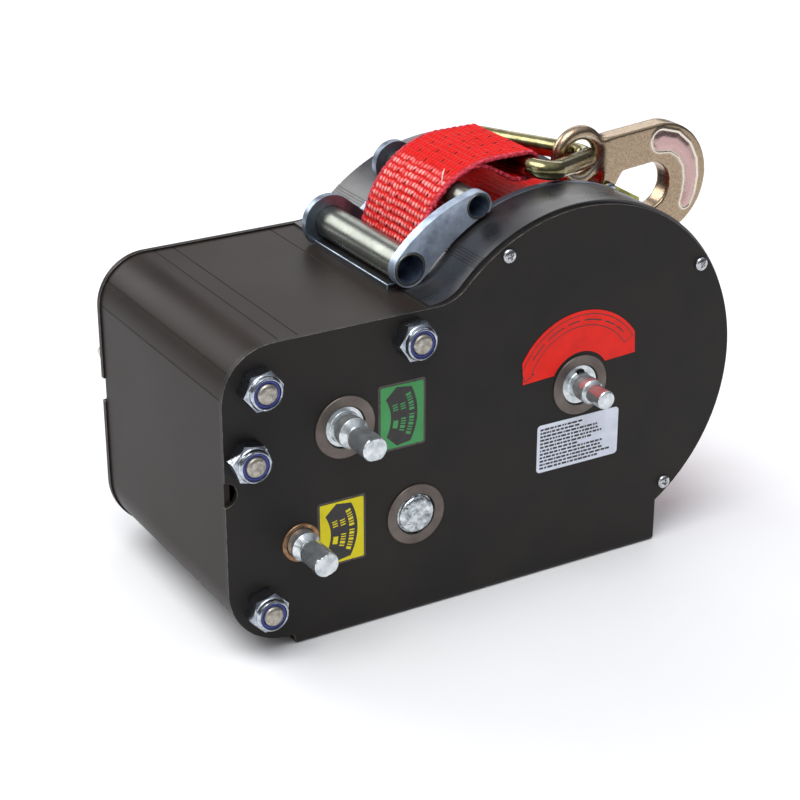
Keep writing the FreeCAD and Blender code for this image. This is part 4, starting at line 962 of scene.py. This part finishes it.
class WINCH_OT_shafts(bpy.types.Operator):
    """Crank shafts, peened middle shaft, stepped release shaft and drum barrel"""
    bl_idname = "winch.shafts"
    bl_label = "Shafts"

    def execute(self, context):
        for body, axis, journal, collar, turn in (
            ("upper_crank", UPPER_AXIS, SHAFT_JOURNAL, 8.4, 90.0),
            ("lower_crank", LOWER_AXIS, 8.0, 8.0, 110.0),
        ):
            node = f"{body}_shaft"
            mesh = crank_mesh(f"{node}_zinc", axis, journal, collar, FRONT_FACE - reach_of(node)[0], turn)
            place(mesh, body, (crank_zinc(),), "bright_zinc", (node,))
        self.peened_shaft()
        self.release_shaft()
        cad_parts["drum_barrel"].material_slots[0].material = turned_ring()
        return {"FINISHED"}

    def peened_shaft(self):
        """Middle shaft, its front end spread by hammer marks"""
        face, radius = reach_of("middle_shaft")[0], 10.2

        def dented(r):
            def at(degrees):
                dent = max(0.0, noise.noise(Vector((*polar((0, 0), r, degrees), 3.1)) * 0.42))
                return face + 0.02 + 0.5 * dent + 0.012 * r * r * (r / radius) ** 4
            return at

        rows = [(r, dented(r)) for r in [CENTRE] + [0.7 * i for i in range(1, 14)]]
        rows += [(9.7, face + 1.0), (radius, face + 1.7), (radius, FRONT_FACE - 0.3)]
        rows += [(10.9, FRONT_FACE - 0.02), *inner_end(SHAFT_JOURNAL, BACK_FACE)]
        mesh = turned("middle_shaft_peened", MIDDLE_AXIS, rows)
        place(mesh, "middle_axle", (peened_zinc(),), "bright_zinc", ("middle_shaft",))

    def release_shaft(self):
        """Stepped shaft in the middle of the round label, with a key at its root"""
        tip, back = reach_of("release_shaft")
        step = FRONT_FACE - 12.0
        rows = [(CENTRE, tip), (4.1, tip), (4.7, tip + 0.25), (5.2, tip + 0.9), (5.2, step - 1.4),
                (6.1, step - 0.8), (6.8, step - 0.1), (7.0, step + 0.4), (7.0, FRONT_FACE - 0.5),
                (7.4, FRONT_FACE - 0.04), (10.7, FRONT_FACE - 0.02), *inner_end(SHAFT_JOURNAL, back)]
        place(turned("release_shaft_zinc", DRUM_AXIS, rows), "release", (crank_zinc(),), "bright_zinc",
              ("release_shaft",))
        x, z = DRUM_AXIS
        outline = rounded_run([(x, z + 6.2), (x + 2.3, z + 6.2), (x + 2.0, z + 8.7), (x - 2.0, z + 8.7),
                               (x - 2.3, z + 6.2), (x, z + 6.2)], [0.3, 0.8, 0.8, 0.3], 4)[:-1]
        place(prism("release_key", outline, FRONT_FACE - 1.1, FRONT_FACE), "release", (dark_steel(),))


TUBE_LIP = 0.5


class WINCH_OT_guides(bpy.types.Operator):
    """Guide tubes of the strap, the arm that holds them and the bar on the end of the shell"""
    bl_idname = "winch.guides"
    bl_label = "Strap guide"

    def execute(self, context):
        sizes = context.scene.winch_sizes
        for node, axis, outer, bore in (
            ("lower_guide_tube", LOW_TUBE_AXIS, 9.0, 7.6), ("upper_guide_tube", HIGH_TUBE_AXIS, 7.0, 5.8),
        ):
            low, high = reach_of(node)
            lip, inner, rim = TUBE_LIP, bore + TUBE_LIP * 0.3, outer - TUBE_LIP * 0.8
            rows = [(bore, low + lip), (inner, low), (rim, low - 0.1), (outer, low + lip),
                    (outer, high - lip), (rim, high), (inner, high), (bore, high - lip), (bore, low + lip)]
            mesh = turned(node + "_zinc", axis, rows, count=128)
            for face in mesh.polygons:
                x, z = face.center.x / MM - axis[0], face.center.z / MM - axis[1]
                face.material_index = 1 if math.hypot(x, z) < bore + 0.05 else 0
            place(mesh, "housing", (dull_zinc(), bore_zinc()), "zinc_plate", (node,))
        rounded_copy("guide_arm_zinc", "guide_arm", "housing", (arm_zinc(),), "zinc_plate", sizes.arm_edge, 4)
        # The sill's flat faces take the dark band enamel as painted shade; only its rounded edges show zinc
        rounded_copy("window_sill_zinc_painted_shade", "window_sill", "housing", (band_coat(), arm_zinc()), "zinc_plate",
                     0.5 * MM, 3, 1)
        return {"FINISHED"}


# Middle line of the free strap seen from the side, with the radii of its bends
STRAP_RUN = ((-29.2, 138.2), (0.43, 224.25), (60.45, 224.25), (60.45, 210.25), (46.55, 210.15),
             (26.5, 221.55), (20.5, 221.55))
STRAP_BENDS = (48.0, 6.55, 6.55, 12.0, 8.0)
STRAP_WIDTH, STRAP_SHEET, STRAP_STEP = 58.0, 2.6, 0.58
# How far the lanes of tracer threads are shifted across the strap, and how wide its selvedge is
TRACER_SHIFT, SELVEDGE = 25.7, 2.4
# Stretch of the free strap, along its run, whose cords' crowns get a painted highlight
HIGHLIGHT_STRETCH = (40.0, 88.0)


def weave_rise(across, along, sizes):
    """Height of the woven face above its valleys, from 0 to 1: rows of rounded cords."""
    column, row = across / (sizes.weave_across / MM), along / (sizes.weave_along / MM)
    over, down = (abs(math.sin(math.pi * part)) for part in (column, row))
    uneven = 0.3 * noise.noise(Vector((math.floor(column) * 1.7, math.floor(row) * 1.3, 5.0)))
    return down * (0.4 + 0.6 * over ** 0.8 + uneven)


def ribbon(name, run, sizes):
    """Woven strap along a run seen from the side, with its face and selvedge as two finishes."""
    points, ways, spots = even_run(run, STRAP_STEP)
    half, cells = STRAP_WIDTH / 2, round(STRAP_WIDTH / STRAP_STEP)
    height = sizes.weave_height / MM
    section = [(-half + 0.6 + (STRAP_WIDTH - 1.2) * i / cells, 1) for i in range(cells + 1)]
    section += [(half - 0.15, 0.72), (half, 0), (half - 0.15, -0.72)]
    section += [(-across, -1) for across, side in section[:cells + 1]]
    section += [(-half + 0.15, -0.72), (-half, 0), (-half + 0.15, 0.72)]
    edges = {i for i, (across, side) in enumerate(section) if abs(across) > half - SELVEDGE}
    rings = []
    for point, way, spot in zip(points, ways, spots):
        normal = Vector((-way.y, way.x))
        knot = abs(math.sin(math.pi * spot / (sizes.weave_along / MM)))
        ring = []
        for across, side in section:
            lift = side * (STRAP_SHEET / 2 - height * 0.55)
            if abs(side) == 1:
                lift += side * height * (weave_rise(across, spot, sizes) - 0.35)
            else:
                fray = 0.5 * noise.noise(Vector((spot * 0.9, across, side)))
                across += math.copysign(0.6 * knot, across) + fray
            spread = point + normal * lift
            ring.append(Vector((spread.x, across, spread.y)))
        rings.append(ring)
    count = len(section)
    faces, uvs, kinds = [], [], []
    for i in range(len(rings) - 1):
        for j in range(count):
            k = (j + 1) % count
            faces.append((i * count + j, i * count + k, (i + 1) * count + k, (i + 1) * count + j))
            here, there = section[j][0], section[k][0]
            uvs += [(here, spots[i]), (there, spots[i]), (there, spots[i + 1]), (here, spots[i + 1])]
            kinds.append(1 if j in edges else 0)
    faces += [tuple(reversed(range(count))), tuple(range((len(rings) - 1) * count, len(rings) * count))]
    uvs += [(0.0, 0.0)] * (2 * count)
    kinds += [1, 1]
    mesh = build_mesh(name, [point for ring in rings for point in ring], faces, uvs)
    mesh.polygons.foreach_set("material_index", kinds)
    return mesh


class WINCH_OT_strap(bpy.types.Operator):
    """Free strap, from the drum over the guide to the link, and the strap wound on the drum"""
    bl_idname = "winch.strap"
    bl_label = "Webbing strap"

    def execute(self, context):
        sizes = context.scene.winch_sizes
        run = rounded_run(STRAP_RUN, STRAP_BENDS, 24)
        mesh = ribbon("strap_woven", run, sizes)
        place(mesh, "housing", (webbing(), webbing_edge()), "webbing", ("strap",))
        self.thread(run)
        self.coil()
        return {"FINISHED"}

    def thread(self, run):
        """A pulled end of sewing thread that stands a little off the strap"""
        distances = lengths_of(run)
        points = []
        for i in range(13):
            part = i / 12
            spot, way = point_on(run, distances, 83.5 + 7.5 * part)
            lift = STRAP_SHEET / 2 + 0.35 + 1.4 * math.sin(math.pi * part)
            spot = spot + Vector((-way.y, way.x)) * lift
            points.append(Vector((spot.x, -24.0 + 7.5 * part ** 1.5, spot.y)))
        rings = []
        for i, point in enumerate(points):
            way = (points[min(i + 1, 12)] - points[max(i - 1, 0)]).normalized()
            first = way.orthogonal().normalized()
            thick = 0.42 * math.sin(math.pi * min(max(i / 12, 0.06), 0.94)) ** 0.4
            rings.append(round_ring(point, first, way.cross(first), thick, 8))
        mesh = loft("strap_loose_thread", rings, [float(i) for i in range(13)], [j / 8 for j in range(9)])
        place(mesh, "housing", (sewing_thread(),), "webbing")

    def coil(self):
        """Wound strap: a woven outside and two sides where the layers' edges show"""
        outer, core, half, count = 91.0, 24.0, STRAP_WIDTH / 2, 144
        layers = round((outer - core) / STRAP_SHEET)
        pitch = (outer - core) / layers
        side = []
        for layer in range(layers):
            r = core + (outer - core) * layer / layers
            side += [(r + 0.05, half - 0.7), (r + pitch * 0.3, half), (r + pitch * 0.7, half)]
        across = [half - 0.6 - (2 * half - 1.2) * i / 40 for i in range(41)]
        profile = side + [(outer, y) for y in across] + [(r, -y) for r, y in reversed(side)]
        mesh = turned("strap_coil_woven", DRUM_AXIS, profile, count=count)
        # The webbing's run starts past the stretch with the painted highlight, which only the free strap has
        start = HIGHLIGHT_STRETCH[1] + 20
        kinds, uvs = [], []
        for i, ((_, low), (_, high)) in enumerate(zip(profile, profile[1:])):
            kinds += [0 if len(side) <= i < len(side) + 40 else 1] * count
            for j in range(count):
                here, there = (start + 2 * math.pi * outer * k / count for k in (j, j + 1))
                uvs += [low, here, low, there, high, there, high, here]
        mesh.uv_layers[0].data.foreach_set("uv", uvs)
        mesh.polygons.foreach_set("material_index", kinds)
        place(mesh, "drum", (webbing(), webbing_edge()), "webbing", ("strap_coil",))


# Middle of the link's base bar, its slope in degrees, half its width, its length and the bar's radius
LINK_BASE, LINK_TILT, LINK_HALF, LINK_HEIGHT, LINK_BAR = (53.5, 217.2), 10.8, 46.0, 65.4, 5.25
LINK_BENDS = (9.0, 10.0, 9.0)


class WINCH_OT_link(bpy.types.Operator):
    """Three-cornered link of bent round bar"""
    bl_idname = "winch.link"
    bl_label = "Link"

    def execute(self, context):
        tilt = math.radians(LINK_TILT)
        base = Vector((LINK_BASE[0], 0, LINK_BASE[1]))
        out = Vector((math.cos(tilt), 0, -math.sin(tilt)))
        normal = Vector((math.sin(tilt), 0, math.cos(tilt)))
        side, apex = Vector((0, LINK_HALF, 0)), base + out * LINK_HEIGHT
        run = rounded_run([base, base + side, apex, base - side, base], LINK_BENDS, 16)
        points, ways, spots = even_run(run, 1.2)
        points, ways = points[:-1], ways[:-1]
        rings = []
        for point, way, spot in zip(points, ways, spots):
            radius = LINK_BAR - 0.05 + 0.03 * noise.noise(point * 0.25)
            rings.append(round_ring(point, normal, way.cross(normal), radius, 32))
        rings.append(rings[0])
        mesh = loft("link_bent", rings, spots, [i / 32 for i in range(33)])
        shape = bmesh.new()
        shape.from_mesh(mesh)
        bmesh.ops.remove_doubles(shape, verts=shape.verts, dist=0.001 * MM)
        shape.to_mesh(mesh)
        shape.free()
        place(mesh, "link", (link_zinc(),), "yellow_zinc", ("link",))
        return {"FINISHED"}


# Middle of the hook's eye, and how far the eye's rounded section reaches
EYE_AXIS, EYE_REACH = (106.54, 206.33), 13.0
# Middle line of the recess in the hook's outer bend, with its half widths
RECESS = ((159.0, 208.6, 6.6), (168.0, 206.8, 5.8), (175.5, 201.0, 5.2), (180.0, 193.0, 4.8),
          (181.2, 184.0, 4.6), (180.2, 175.5, 4.4), (178.2, 169.6, 3.8))
# Half the thickness of the hook's middle, which the recess leaves as it is
HOOK_CORE = 3.0


def recess_depth(x, z):
    """Distance inside the edge of the recess, in millimetres; below zero outside it."""
    best = -99.0
    for first, last in zip(RECESS, RECESS[1:]):
        start, leg = Vector(first[:2]), Vector(last[:2]) - Vector(first[:2])
        part = min(1.0, max(0.0, (Vector((x, z)) - start).dot(leg) / leg.length_squared))
        width = first[2] + (last[2] - first[2]) * part
        best = max(best, width - (Vector((x, z)) - start - leg * part).length)
    return best


class WINCH_OT_hook(bpy.types.Operator):
    """Forged hook with its recess, sheet latch and rivet"""
    bl_idname = "winch.hook"
    bl_label = "Hook and latch"

    def execute(self, context):
        mesh = self.forged_skin(context)
        self.blend_eye(mesh)
        self.press_recess(mesh, context.scene.winch_sizes.recess_depth / MM)
        mesh.polygons.foreach_set("use_smooth", [True] * len(mesh.polygons))
        place(mesh, "hook", (forged_zinc(),), "yellow_zinc", ("hook",))
        rounded_copy("latch_folded", "latch", "latch", (latch_zinc(),), "latch_zinc", 0.25 * MM, 2)
        end, seat = reach_of("latch_rivet")[1], 8.1
        half = [(CENTRE, end), (2.2, end - 0.05), (3.3, end - 0.4), (3.9, end - 0.9)]
        half += [(4.0, seat), (2.6, seat)]
        rows = half + [(r, -y) for r, y in reversed(half)]
        place(turned("latch_rivet_zinc", RIVET_AXIS, rows, count=48), "hook", (nut_zinc(),), "bright_zinc",
              ("latch_rivet",))
        return {"FINISHED"}

    def forged_skin(self, context):
        """Even mesh over the hook's own shape, smoothed until its edges are as round as a forging's"""
        shape = bmesh.new()
        shape.from_mesh(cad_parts["hook"].data)
        bmesh.ops.remove_doubles(shape, verts=shape.verts, dist=WELD)
        blank = bpy.data.meshes.new("hook_blank")
        shape.to_mesh(blank)
        shape.free()
        holder = put("hook_blank", blank)
        remesh = holder.modifiers.new("Even skin", "REMESH")
        remesh.mode, remesh.voxel_size = "VOXEL", 0.5 * MM
        smooth = holder.modifiers.new("Forged rounding", "SMOOTH")
        smooth.factor, smooth.iterations = 0.5, 60
        graph = context.evaluated_depsgraph_get()
        mesh = bpy.data.meshes.new_from_object(holder.evaluated_get(graph))
        mesh.name = "hook_forged"
        bpy.data.objects.remove(holder)
        return mesh

    def press_recess(self, mesh, depth):
        """Sink the recess into both faces, and note where the skin is sunk and where it gets a painted
        highlight
        """
        sunk, painted_highlight = [], []
        for vertex in mesh.vertices:
            x, y, z = vertex.co / MM
            inside = recess_depth(x, z) if abs(y) > HOOK_CORE else -99.0
            face = min(1.0, max(0.0, (abs(y) - HOOK_CORE) / 2.0))
            sink = depth * math.sin(math.pi / 2 * min(1.0, max(0.0, inside / 4.6))) ** 1.2
            rim = 0.55 * math.exp(-((inside + 0.3) / 0.9) ** 2)
            eye = math.hypot(x - EYE_AXIS[0], z - EYE_AXIS[1])
            # Painted highlight along the recess rim and over the eye
            rim_highlight = face * math.exp(-((inside + 0.1) / 0.75) ** 2)
            eye_highlight = min(0.5, max(0.0, (EYE_REACH - eye) / 3))
            sunk.append(face * min(1.0, max(0.0, inside / 1.6)))
            painted_highlight.append(max(rim_highlight, eye_highlight))
            vertex.co.y += math.copysign((rim - sink) * face * MM, y)
        for name, values in (("sunk", sunk), ("painted_highlight", painted_highlight)):
            mesh.attributes.new(name, "FLOAT", "POINT").data.foreach_set("value", values)

    def blend_eye(self, mesh):
        """Widen the fillet where the shank grows out of the eye"""
        count = len(mesh.vertices)
        places = numpy.empty(count * 3)
        mesh.vertices.foreach_get("co", places)
        places = places.reshape(count, 3)
        ends = numpy.empty(len(mesh.edges) * 2, dtype=numpy.int64)
        mesh.edges.foreach_get("vertices", ends)
        first, last = ends.reshape(-1, 2).T
        near = numpy.bincount(ends, minlength=count)[:, None]
        aside = places[:, 0] / MM - EYE_AXIS[0]
        reach = numpy.hypot(aside, places[:, 2] / MM - EYE_AXIS[1])
        share = numpy.exp(-((reach - EYE_REACH) / 4.5) ** 2) * numpy.clip((aside - 3.0) / 6.0, 0.0, 1.0)
        for turn in range(120):
            total = numpy.zeros_like(places)
            for axis in range(3):
                total[:, axis] = numpy.bincount(first, places[last, axis], count)
                total[:, axis] += numpy.bincount(last, places[first, axis], count)
            places += 0.6 * share[:, None] * (total / near - places)
        mesh.vertices.foreach_set("co", places.ravel())
        mesh.update()


def sheet_mesh(name, outlines, lift):
    """Thin print on the front plate's labels: closed outlines in front of the plate by the lift."""
    shape = bmesh.new()
    for outline in outlines:
        shape.faces.new([shape.verts.new(Vector((x, FRONT_FACE - lift, z)) * MM) for x, z in outline])
    flat = bpy.data.meshes.new(name)
    shape.normal_update()
    bmesh.ops.triangulate(shape, faces=shape.faces)
    bmesh.ops.recalc_face_normals(shape, faces=shape.faces)
    for face in shape.faces:
        if face.normal.y > 0:
            face.normal_flip()
    shape.to_mesh(flat)
    shape.free()
    return flat


def place_flat(mesh, finish):
    """Print that lies on a label of the housing."""
    piece = put(mesh.name, mesh)
    mesh.materials.append(finish)
    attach(piece, "housing")


def strip(first, last, width):
    """Corners of a straight bar between two points."""
    first, last = Vector(first), Vector(last)
    way = (last - first).normalized()
    aside = Vector((-way.y, way.x)) * width / 2
    return [tuple(first + aside), tuple(first - aside), tuple(last - aside), tuple(last + aside)]


def bend(first, middle, last, count=16):
    """Points of a smooth curve through three points."""
    first, middle, last = Vector(first), Vector(middle), Vector(last)
    pull = middle * 2 - (first + last) / 2
    return [tuple(first * (1 - t) ** 2 + pull * 2 * t * (1 - t) + last * t * t)
            for t in [i / count for i in range(count + 1)]]


# How far the print stands before the front plate, just outside the films
PRINT_LIFT = 0.33


class WINCH_OT_labels(bpy.types.Operator):
    """Films on the front plate, with arrows, plain bars and dashes for print"""
    bl_idname = "winch.labels"
    bl_label = "Labels"

    def execute(self, context):
        colours = context.scene.winch_colours
        for node, colour in (
            ("green_label", colours.green_film), ("yellow_label", colours.yellow_film),
            ("data_label", colours.white_film), ("dial_label", colours.red_film),
        ):
            vinyl = film(f"Printed vinyl, {node.split('_')[0]}", colour)
            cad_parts[node].material_slots[0].material = vinyl
            if node in ("green_label", "yellow_label"):
                self.direction_print(node, vinyl)
        self.data_print()
        self.dial_print()
        return {"FINISHED"}

    def direction_print(self, node, vinyl):
        """Bow-shaped double arrow with plain bars on it, and the clear margin round the film"""
        low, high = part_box(node)
        left, base = low.x / MM, low.z / MM
        right, top = high.x / MM, high.z / MM

        def at(u, v):
            return left + u, base + v

        figure = [at(3.0, 27.7), at(9.4, 33.6), at(18.1, 32.3)]
        figure += bend(at(18.1, 32.3), at(21.6, 17.2), at(17.4, 2.2))[1:]
        figure += [at(9.4, 1.0), at(3.4, 6.9)]
        figure += bend(at(3.4, 6.9), at(6.0, 17.3), at(3.0, 27.7))[1:-1]
        colour = node.split("_")[0]
        place_flat(sheet_mesh(f"{colour}_arrow_print", [figure], PRINT_LIFT), ink())
        bars = []
        for shift, spans in ((16.9, ((0.08, 0.44), (0.5, 0.92))), (12.1, ((0.24, 0.4), (0.54, 0.82))),
                             (7.6, ((0.24, 0.4), (0.58, 0.74)))):
            curve = bend((shift - 1.9, 31.0), (shift + 1.4, 17.2), (shift - 2.3, 3.4), 40)
            for first, last in spans:
                count = max(2, round((last - first) * 17))
                for i in range(count):
                    start = first + (last - first) * i / count
                    end = start + (last - first) / count * 0.62
                    a, b = curve[round(start * 40)], curve[max(round(end * 40), round(start * 40) + 1)]
                    bars.append(strip(at(*a), at(*b), 2.9))
        place_flat(sheet_mesh(f"{colour}_bars_print", bars, PRINT_LIFT + 0.03), vinyl)
        edge = 1.3
        ring = rounded_run([(left, base - edge), (right + edge, base - edge), (right + edge, top + edge),
                            (left - edge, top + edge), (left - edge, base - edge), (left, base - edge)],
                           [1.6] * 4, 5)
        margin = [tuple(point) for point in ring[:-1]]
        place_flat(sheet_mesh(f"{colour}_film_margin", [margin], 0.05), film_margin())

    def data_print(self):
        """Rows of plain dark dashes"""
        low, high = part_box("data_label")
        left, top = low.x / MM, high.z / MM
        rng = random.Random(11)
        dashes = []
        lengths = (26, 24, 37, 36, 40, 33, 24, 40, 39, 41, 44, 36)
        for row, length in enumerate(lengths):
            z = top - 2.7 - row * 2.06
            x = left + 1.8
            while x < left + 1.8 + length:
                run = rng.uniform(0.9, 3.4)
                dashes.append(strip((x, z), (x + run, z), 1.15))
                x += run + rng.uniform(0.35, 0.7)
        place_flat(sheet_mesh("data_dashes_print", dashes, PRINT_LIFT), ink())

    def dial_print(self):
        """Arc-shaped arrow in outline, and plain dashes at its ends"""
        line = 0.45

        def arc_strips(radius, first, last, step, width):
            points = arc_run(DRUM_AXIS, radius, first, last, step)
            return [strip(a, b, width) for a, b in zip(points, points[1:])]

        prints = arc_strips(39.8, 33, 158, 1.0, line) + arc_strips(33.6, 33, 158, 1.0, line)
        for first, last in (((39.8, 33), (33.6, 33)), ((39.8, 158), (40.9, 157)), ((33.6, 158), (32.2, 157)),
                            ((40.9, 157), (36.6, 166)), ((36.6, 166), (32.2, 157))):
            prints.append(strip(polar(DRUM_AXIS, *first), polar(DRUM_AXIS, *last), line))
        for first, last in ((42, 52), (55, 66), (70, 88), (92, 104), (108, 126), (130, 146)):
            prints += arc_strips(36.7, first, last, 2.0, 0.7)
        place_flat(sheet_mesh("dial_arrow_print", prints, PRINT_LIFT), ink())


def aimed(thing, target):
    """Turn a light or camera to look at a point in millimetres."""
    way = Vector(target) * MM - thing.location
    thing.rotation_euler = way.to_track_quat("-Z", "Y").to_euler()


# Where the photograph was taken from, in millimetres and degrees
CAMERA_PLACE = (-534.3, -897.75, 550.6)
CAMERA_PITCH, CAMERA_YAW = 65.87, -30.40
OBJECT_MIDDLE = (0.0, 0.0, 110.0)


class WINCH_OT_stage(bpy.types.Operator):
    """Pale floor, soft lights and the camera"""
    bl_idname = "winch.stage"
    bl_label = "Stage, light and camera"

    def execute(self, context):
        scene, stage = context.scene, context.scene.winch_stage
        half = 9000.0
        points = [(-half, -half, 0), (half, -half, 0), (half, half, 0), (-half, half, 0)]
        floor_mesh = build_mesh("studio_floor", points, [(0, 1, 2, 3)])
        floor = put("studio_floor", floor_mesh)
        paper = coated("Matt studio paper", context.scene.winch_colours.floor, linear("#f0f0f0"),
                       (0.8, 0.9), 2.0, 0.01, patch=200.0)
        floor_mesh.materials.append(paper)
        world = bpy.data.worlds.new("Pale studio")
        scene.world = world
        world.use_nodes = True
        tree = world.node_tree
        tree.nodes.clear()
        height = add(tree, "ShaderNodeSeparateXYZ", {0: add(tree, "ShaderNodeTexCoord").outputs["Generated"]})
        glow = add(tree, "ShaderNodeMapRange", {0: height.outputs[2], 1: 0.35, 2: 1.0, 3: 0.14, 4: 0.9})
        sky = add(tree, "ShaderNodeBackground", {"Color": linear("#f3f6ff"), "Strength": glow.outputs[0]})
        add(tree, "ShaderNodeOutputWorld", {"Surface": sky.outputs[0]})
        for name, spot, size, power in (
            ("overhead_softbox", (-350, -250, 1500), (1300, 900), stage.key_power),
            ("camera_side_softbox", (-1500, -900, 700), (900, 900), stage.fill_power),
            ("back_softbox", (900, 1100, 900), (1200, 700), stage.rim_power),
            ("window_softbox", (-900, 1900, 1300), (1300, 1300), stage.window_power),
        ):
            lamp = bpy.data.lights.new(name, "AREA")
            lamp.shape, lamp.energy = "RECTANGLE", power
            lamp.size, lamp.size_y = size[0] * MM, size[1] * MM
            aimed(put(name, lamp, spot), OBJECT_MIDDLE)
        even = bpy.data.lights.new("even_light", "SUN")
        even.energy, even.angle = stage.daylight, math.radians(50)
        aimed(put("even_light", even, (-500, -450, 1600)), OBJECT_MIDDLE)
        camera = put("photo_camera", bpy.data.cameras.new("photo_camera"), CAMERA_PLACE)
        camera.rotation_euler = (math.radians(CAMERA_PITCH), 0, math.radians(CAMERA_YAW))
        camera.data.lens = stage.focal_length
        camera.data.sensor_width = 36.0
        camera.data.clip_end = 50.0
        scene.camera = camera
        scene.view_settings.view_transform = "Standard"
        return {"FINISHED"}


PIECES = (
    WINCH_OT_side_plates, WINCH_OT_inner_plates, WINCH_OT_shell, WINCH_OT_bands, WINCH_OT_rings,
    WINCH_OT_tie_bolts, WINCH_OT_cover_screws, WINCH_OT_shafts, WINCH_OT_guides, WINCH_OT_strap,
    WINCH_OT_link, WINCH_OT_hook, WINCH_OT_labels, WINCH_OT_stage,
)


class WINCH_PT_looks(bpy.types.Panel):
    """Lists the winch's settings and its pieces"""
    bl_label = "Winch looks"
    bl_idname = "WINCH_PT_looks"
    bl_space_type = "VIEW_3D"
    bl_region_type = "UI"
    bl_category = "Winch"

    def draw(self, context):
        layout = self.layout
        for group in (context.scene.winch_sizes, context.scene.winch_colours, context.scene.winch_stage):
            column = layout.column(align=True)
            for setting in group.bl_rna.properties:
                if setting.identifier not in ("rna_type", "name"):
                    column.prop(group, setting.identifier)
        for piece in PIECES:
            layout.operator(piece.bl_idname)


GROUPS = {"winch_sizes": WINCH_PG_sizes, "winch_colours": WINCH_PG_colours, "winch_stage": WINCH_PG_stage}


def register():
    """Register the settings, the pieces and the panel."""
    for kind in (*GROUPS.values(), *PIECES, WINCH_PT_looks):
        bpy.utils.register_class(kind)
    for name, kind in GROUPS.items():
        setattr(bpy.types.Scene, name, bpy.props.PointerProperty(type=kind))


def unregister():
    """Take all of them out again, in the opposite order."""
    for name in GROUPS:
        delattr(bpy.types.Scene, name)
    for kind in (WINCH_PT_looks, *reversed(PIECES), *reversed(GROUPS.values())):
        bpy.utils.unregister_class(kind)


def main():
    """Build every piece in order."""
    register()
    for piece in PIECES:
        getattr(bpy.ops.winch, piece.bl_idname.split(".")[1])()
    bpy.context.view_layer.update()


if __name__ == "__main__":
    main()
